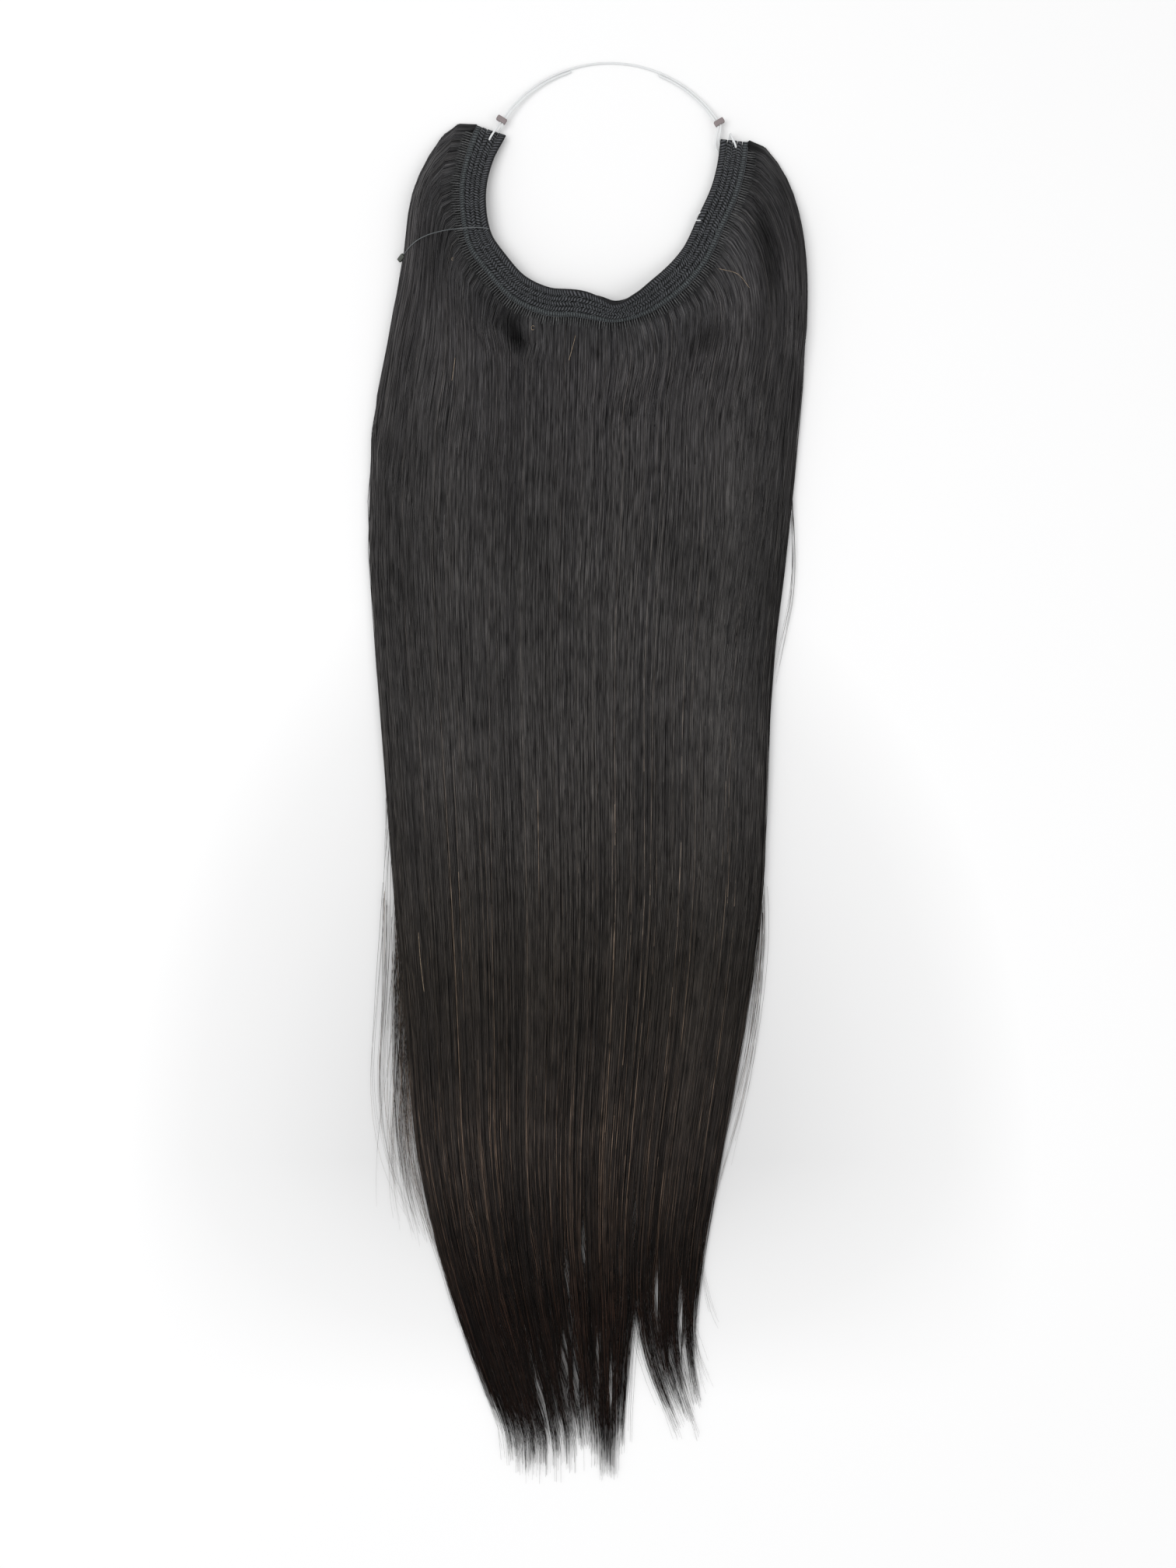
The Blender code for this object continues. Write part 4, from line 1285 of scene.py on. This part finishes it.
# %% Rows of the band
# Columns: node, share of the band's width, stitches' pitch in metres, slant, relief in metres
BAND_ROWS = (
    ("band_fold", 0.268, 0.0015, 0.9, 0.00045),
    ("band_track_1", 0.174, 0.0014, -0.6, 0.00050),
    ("band_track_2", 0.174, 0.0014, 0.6, 0.00050),
    ("band_track_3", 0.174, 0.0014, -0.6, 0.00050),
    ("band_header", 0.210, 0.0012, 0.2, 0.00035),
)
ROW_STATIONS = 1150
FACE_POINTS = 8
FACE_CROWN = 0.0008
PINCH_PLACE = 0.0055
PINCH_SPREAD = 0.0120
PINCH = 0.20


def pinch(shares):
    """How much narrower the band is than its usual width: the rows are drawn together where the
    opening's lowest point sags."""
    point = root_frames(shares)[0]
    near = np.exp(-(((point[:, 0] - PINCH_PLACE) / PINCH_SPREAD) ** 2))
    return 1 - PINCH * near * (point[:, 1] < 0)


band_length = run_along(band_points(np.linspace(0, 1, 400), BAND_WIDTH / 2, 0.0))[-1]
row_shares = np.linspace(0, 1, ROW_STATIONS)
row_pinch = pinch(row_shares)
grooves = []
outer = BAND_WIDTH
gaps = FIT_GAP * (len(BAND_ROWS) - 1)
for node, share, pitch, slant, relief in BAND_ROWS:
    inner_edge = outer
    outer = inner_edge - share * (BAND_WIDTH - gaps)
    v = np.linspace(0, 1, FACE_POINTS)[None]
    u = row_shares[:, None] * band_length / pitch
    wander = 0.22 * np.sin(u * 0.61) + 0.17 * np.sin(u * 0.23 + 1.0)
    stitch = (0.5 + 0.5 * np.cos(2 * np.pi * (u + slant * v + wander))) ** 0.8
    crown = np.clip(1 - (2 * v - 1) ** 2, 0, 1) ** 0.35
    height = ROW_THICKNESS - FACE_CROWN * (1 - crown) - relief * (1 - stitch)
    across = (outer + (inner_edge - outer) * v) * row_pinch[:, None]
    columns_of = [band_points(row_shares, across[:, i], height[:, i]) for i in range(FACE_POINTS)]
    columns_of += [band_points(row_shares, across[:, i], 0 * row_shares) for i in (-1, 0)]
    # Painted shade and highlight: the pits between the stitches and the rows' edges are coloured
    # darker, the stitches' crowns lighter.
    lit = stitch * np.clip(crown * 1.15 - 0.15, 0, 1)
    tone_and_painted_shade = np.concatenate([lit, np.zeros((ROW_STATIONS, 2))], axis=1)
    rings = np.stack(columns_of, axis=1)
    mesh = rings_mesh(node + "_cloth", rings[None], (("tone_and_painted_shade", tone_and_painted_shade[None]),))
    header = node == "band_header"
    add_piece(mesh, header_finish if header else row_finish, "band_header" if header else "band", node)
    grooves.append(outer - FIT_GAP / 2)
    outer -= FIT_GAP

# %% [markdown]
# Sewing thread holds the rows together. It shows as short slanting stitches that cross the grooves,
# so that each groove reads as a row of dark dashes. All of them are one joined mesh of small tubes.

# %% Sewing stitches
STITCH_PITCH = 0.00155
STITCH_REACH = 0.00055
STITCH_DIAMETER = 0.00048
STITCH_SINK, STITCH_ARCH = 0.00035, 0.0003
stitches = []
for groove in grooves[:-1]:
    count = int(band_length / STITCH_PITCH)
    start = (np.arange(count) + 0.3 + 0.22 * dice.uniform(-1, 1, count)) / (count + 0.6)
    step = STITCH_PITCH * 0.45 / band_length
    line = []
    for k in np.linspace(-1, 1, 6):
        at = np.clip(start + step * k, 0.001, 0.999)
        across = (groove + STITCH_REACH * k) * pinch(at)
        line.append(band_points(at, across, 0 * at + ROW_THICKNESS - STITCH_SINK - STITCH_ARCH * k * k))
    stitches.append(np.stack(line, axis=1))
stitches = np.concatenate(stitches)
stitch_radii = np.full(stitches.shape[:2], STITCH_DIAMETER / 2)
stitch_tone = np.broadcast_to(dice.uniform(0.2, 1.0, (len(stitches), 1)), stitch_radii.shape)
stitch_rings = tube_rings(stitches, stitch_radii, 4)
stitch_mesh = rings_mesh("sewing_stitches", stitch_rings, (("tone_and_painted_shade", stitch_tone),))
add_piece(stitch_mesh, sewing_finish, "band")

# %% [markdown]
# Where the hair comes out of the header it is still pressed into small flat bundles by the sewing,
# so the edge looks like a comb. Each bundle is a short oval tube, square to the band, that narrows
# and sinks into the hair after some six millimetres.

# %% Root bundles
BUNDLE_PITCH = 0.00128
BUNDLE_STATIONS = 8
BUNDLE_RADIUS = 0.00030
count = int(band_length * 1.02 / BUNDLE_PITCH)
bundle_shares = 0.014 + 0.972 * (np.arange(count) + 0.5 + 0.10 * dice.uniform(-1, 1, count)) / count
point, out, comb, lean, width = root_frames(bundle_shares)
length = dice.uniform(0.0055, 0.0070, count)
t = np.linspace(0, 1, BUNDLE_STATIONS)[None]
bend = (out * 0.75 + comb * 0.25)[:, None]
plan = point[:, None] + bend * (length[:, None] * t - 0.0010)[..., None]
rise = hair_top(plan, length[:, None] * t / HAIR_LENGTH, bundle_shares[:, None])
level = np.maximum(rise + 0.0006 * (1 - t**2), BAND_LIFT + 0.0002)
bundle_lines = np.concatenate([plan, level[..., None]], axis=2)
bundle_radii = BUNDLE_RADIUS * (1 - 0.60 * t**2) * dice.uniform(0.85, 1.15, count)[:, None]
bundle_tone = np.broadcast_to(dice.uniform(0.0, 1.0, (count, 1)) * (1 - 0.5 * t), bundle_radii.shape)
bundle_mesh = rings_mesh(
    "root_bundles", tube_rings(bundle_lines, bundle_radii, 8, 0.7), (("tone_and_painted_shade", bundle_tone),)
)
add_piece(bundle_mesh, root_finish, "hair")

# %% [markdown]
# A locking thread runs along the feet of the bundles and waves a little from one to the next.

# %% Locking thread
LOCK_DIAMETER = 0.00036
lock_shares = np.linspace(0.008, 0.992, 900)
wave = 0.00012 * np.sin(lock_shares * band_length / BUNDLE_PITCH * 2 * np.pi)
lock_line = band_points(lock_shares, -0.0001 + wave, 0.0010 + 0 * lock_shares)
lock_radii = np.full((1, len(lock_shares)), LOCK_DIAMETER / 2)
lock_rings = tube_rings(lock_line[None], lock_radii, 5)
lock_mesh = rings_mesh("locking_thread", lock_rings, (("tone_and_painted_shade", np.full_like(lock_radii, 0.8)),))
add_piece(lock_mesh, sewing_finish, "band_header")

# %% [markdown]
# On the right side one short clear stitch crosses the inner edge of the band.

# %% Edge stitch
EDGE_ROUTE = (
    (0.0543, -0.0222, 0.0052),
    (0.0528, -0.0223, 0.0056),
    (0.0514, -0.0219, 0.0050),
    (0.0516, -0.0205, 0.0046),
    (0.0526, -0.0188, 0.0052),
    (0.0541, -0.0180, 0.0056),
)
nylon_tube("edge_stitch", EDGE_ROUTE, 24, 0.0006, wire_finish, "clear_thread")

# %% [markdown]
# ## Table and light
#
# A pale table under everything, an even pale surround, and large soft lamps on both sides give the
# quiet, almost shadowless light of the picture. Round the lower half of the hair the table's colour
# is a little greyer, where the picture is too: a painted soft shadow.

# %% Table and lights
TABLE_SIDE = 8.0
TABLE_DROP = 0.0004
# Painted soft shadow on the table round the lower half of the hair: its middle, reach, lower fade and
# colours.
PAINTED_SHADOW_PLACE = (-0.015, -0.533)
PAINTED_SHADOW_REACH = (0.25, 0.34)
PAINTED_SHADOW_FADE = (-0.66, -0.53)
PAINTED_SHADOW_STOPS = (
    (0.00, (0.890, 0.890, 0.892)),
    (0.18, (0.810, 0.810, 0.812)),
    (0.33, (0.772, 0.772, 0.774)),
    (0.48, (0.722, 0.722, 0.724)),
    (0.55, (0.694, 0.694, 0.696)),
    (1.00, (0.560, 0.560, 0.562)),
)
SURROUND_STRENGTH = 0.66
table_mesh = bpy.data.meshes.new("table")
half = TABLE_SIDE / 2
corners = [(-half, -half), (half, -half), (half, half), (-half, half)]
table_mesh.from_pydata([(x, y, -TABLE_DROP) for x, y in corners], [], [(0, 1, 2, 3)])
table = bpy.data.objects.new("table", table_mesh)
bpy.context.scene.collection.objects.link(table)


def table_material():
    """Even pale paper with a painted soft shadow: greyer towards the middle of one oval, which fades
    out at its lower side.
    """
    material, tree, shader = new_material("table_finish", roughness=0.9, specular=0.2)
    place = new_node(tree, "TexCoord", {}).outputs["Object"]
    oval = new_node(tree, "Mapping", {"Vector": place})
    oval.vector_type = "TEXTURE"
    fill_inputs(tree, oval, {"Location": (*PAINTED_SHADOW_PLACE, 0.0), "Scale": (*PAINTED_SHADOW_REACH, 1.0)})
    gradient = new_node(tree, "TexGradient", {"Vector": oval.outputs["Vector"]})
    gradient.gradient_type = "SPHERICAL"
    up = new_node(tree, "SeparateXYZ", {"Vector": place}).outputs["Y"]
    fade = {"Value": up, "From Min": PAINTED_SHADOW_FADE[0], "From Max": PAINTED_SHADOW_FADE[1]}
    factors = {0: gradient.outputs["Fac"], 1: new_node(tree, "MapRange", fade).outputs["Result"]}
    # How deep the painted shadow is at each place.
    grey = new_node(tree, "Math", factors, "MULTIPLY").outputs["Value"]
    fill_inputs(tree, shader, {"Base Color": ramp(tree, grey, PAINTED_SHADOW_STOPS)})
    return material


table_mesh.materials.append(table_material())

world = bpy.data.worlds.new("surround")
world.use_nodes = True
sky = {"Color": (1.0, 1.0, 1.0, 1.0), "Strength": SURROUND_STRENGTH}
fill_inputs(world.node_tree, world.node_tree.nodes["Background"], sky)
bpy.context.scene.world = world


def soft_lamp(name, place, size, power):
    """A square lamp of this size that faces the middle of the picture."""
    lamp = bpy.data.objects.new(name, bpy.data.lights.new(name, "AREA"))
    lamp.data.size = size
    lamp.data.energy = power
    lamp.location = place
    aim = np.array([*middle, 0.0]) - np.array(place)
    flat = math.hypot(aim[0], aim[1])
    lamp.rotation_euler = (math.atan2(flat, -aim[2]), 0.0, math.atan2(aim[0], -aim[1]) + math.pi)
    bpy.context.scene.collection.objects.link(lamp)


soft_lamp("left_lamp", place=(-1.0, -0.1, 2.2), size=1.6, power=26.0)
soft_lamp("right_lamp", place=(1.3, -0.9, 2.0), size=1.6, power=10.0)
print("table, surround and", len(bpy.data.lights), "lamps")
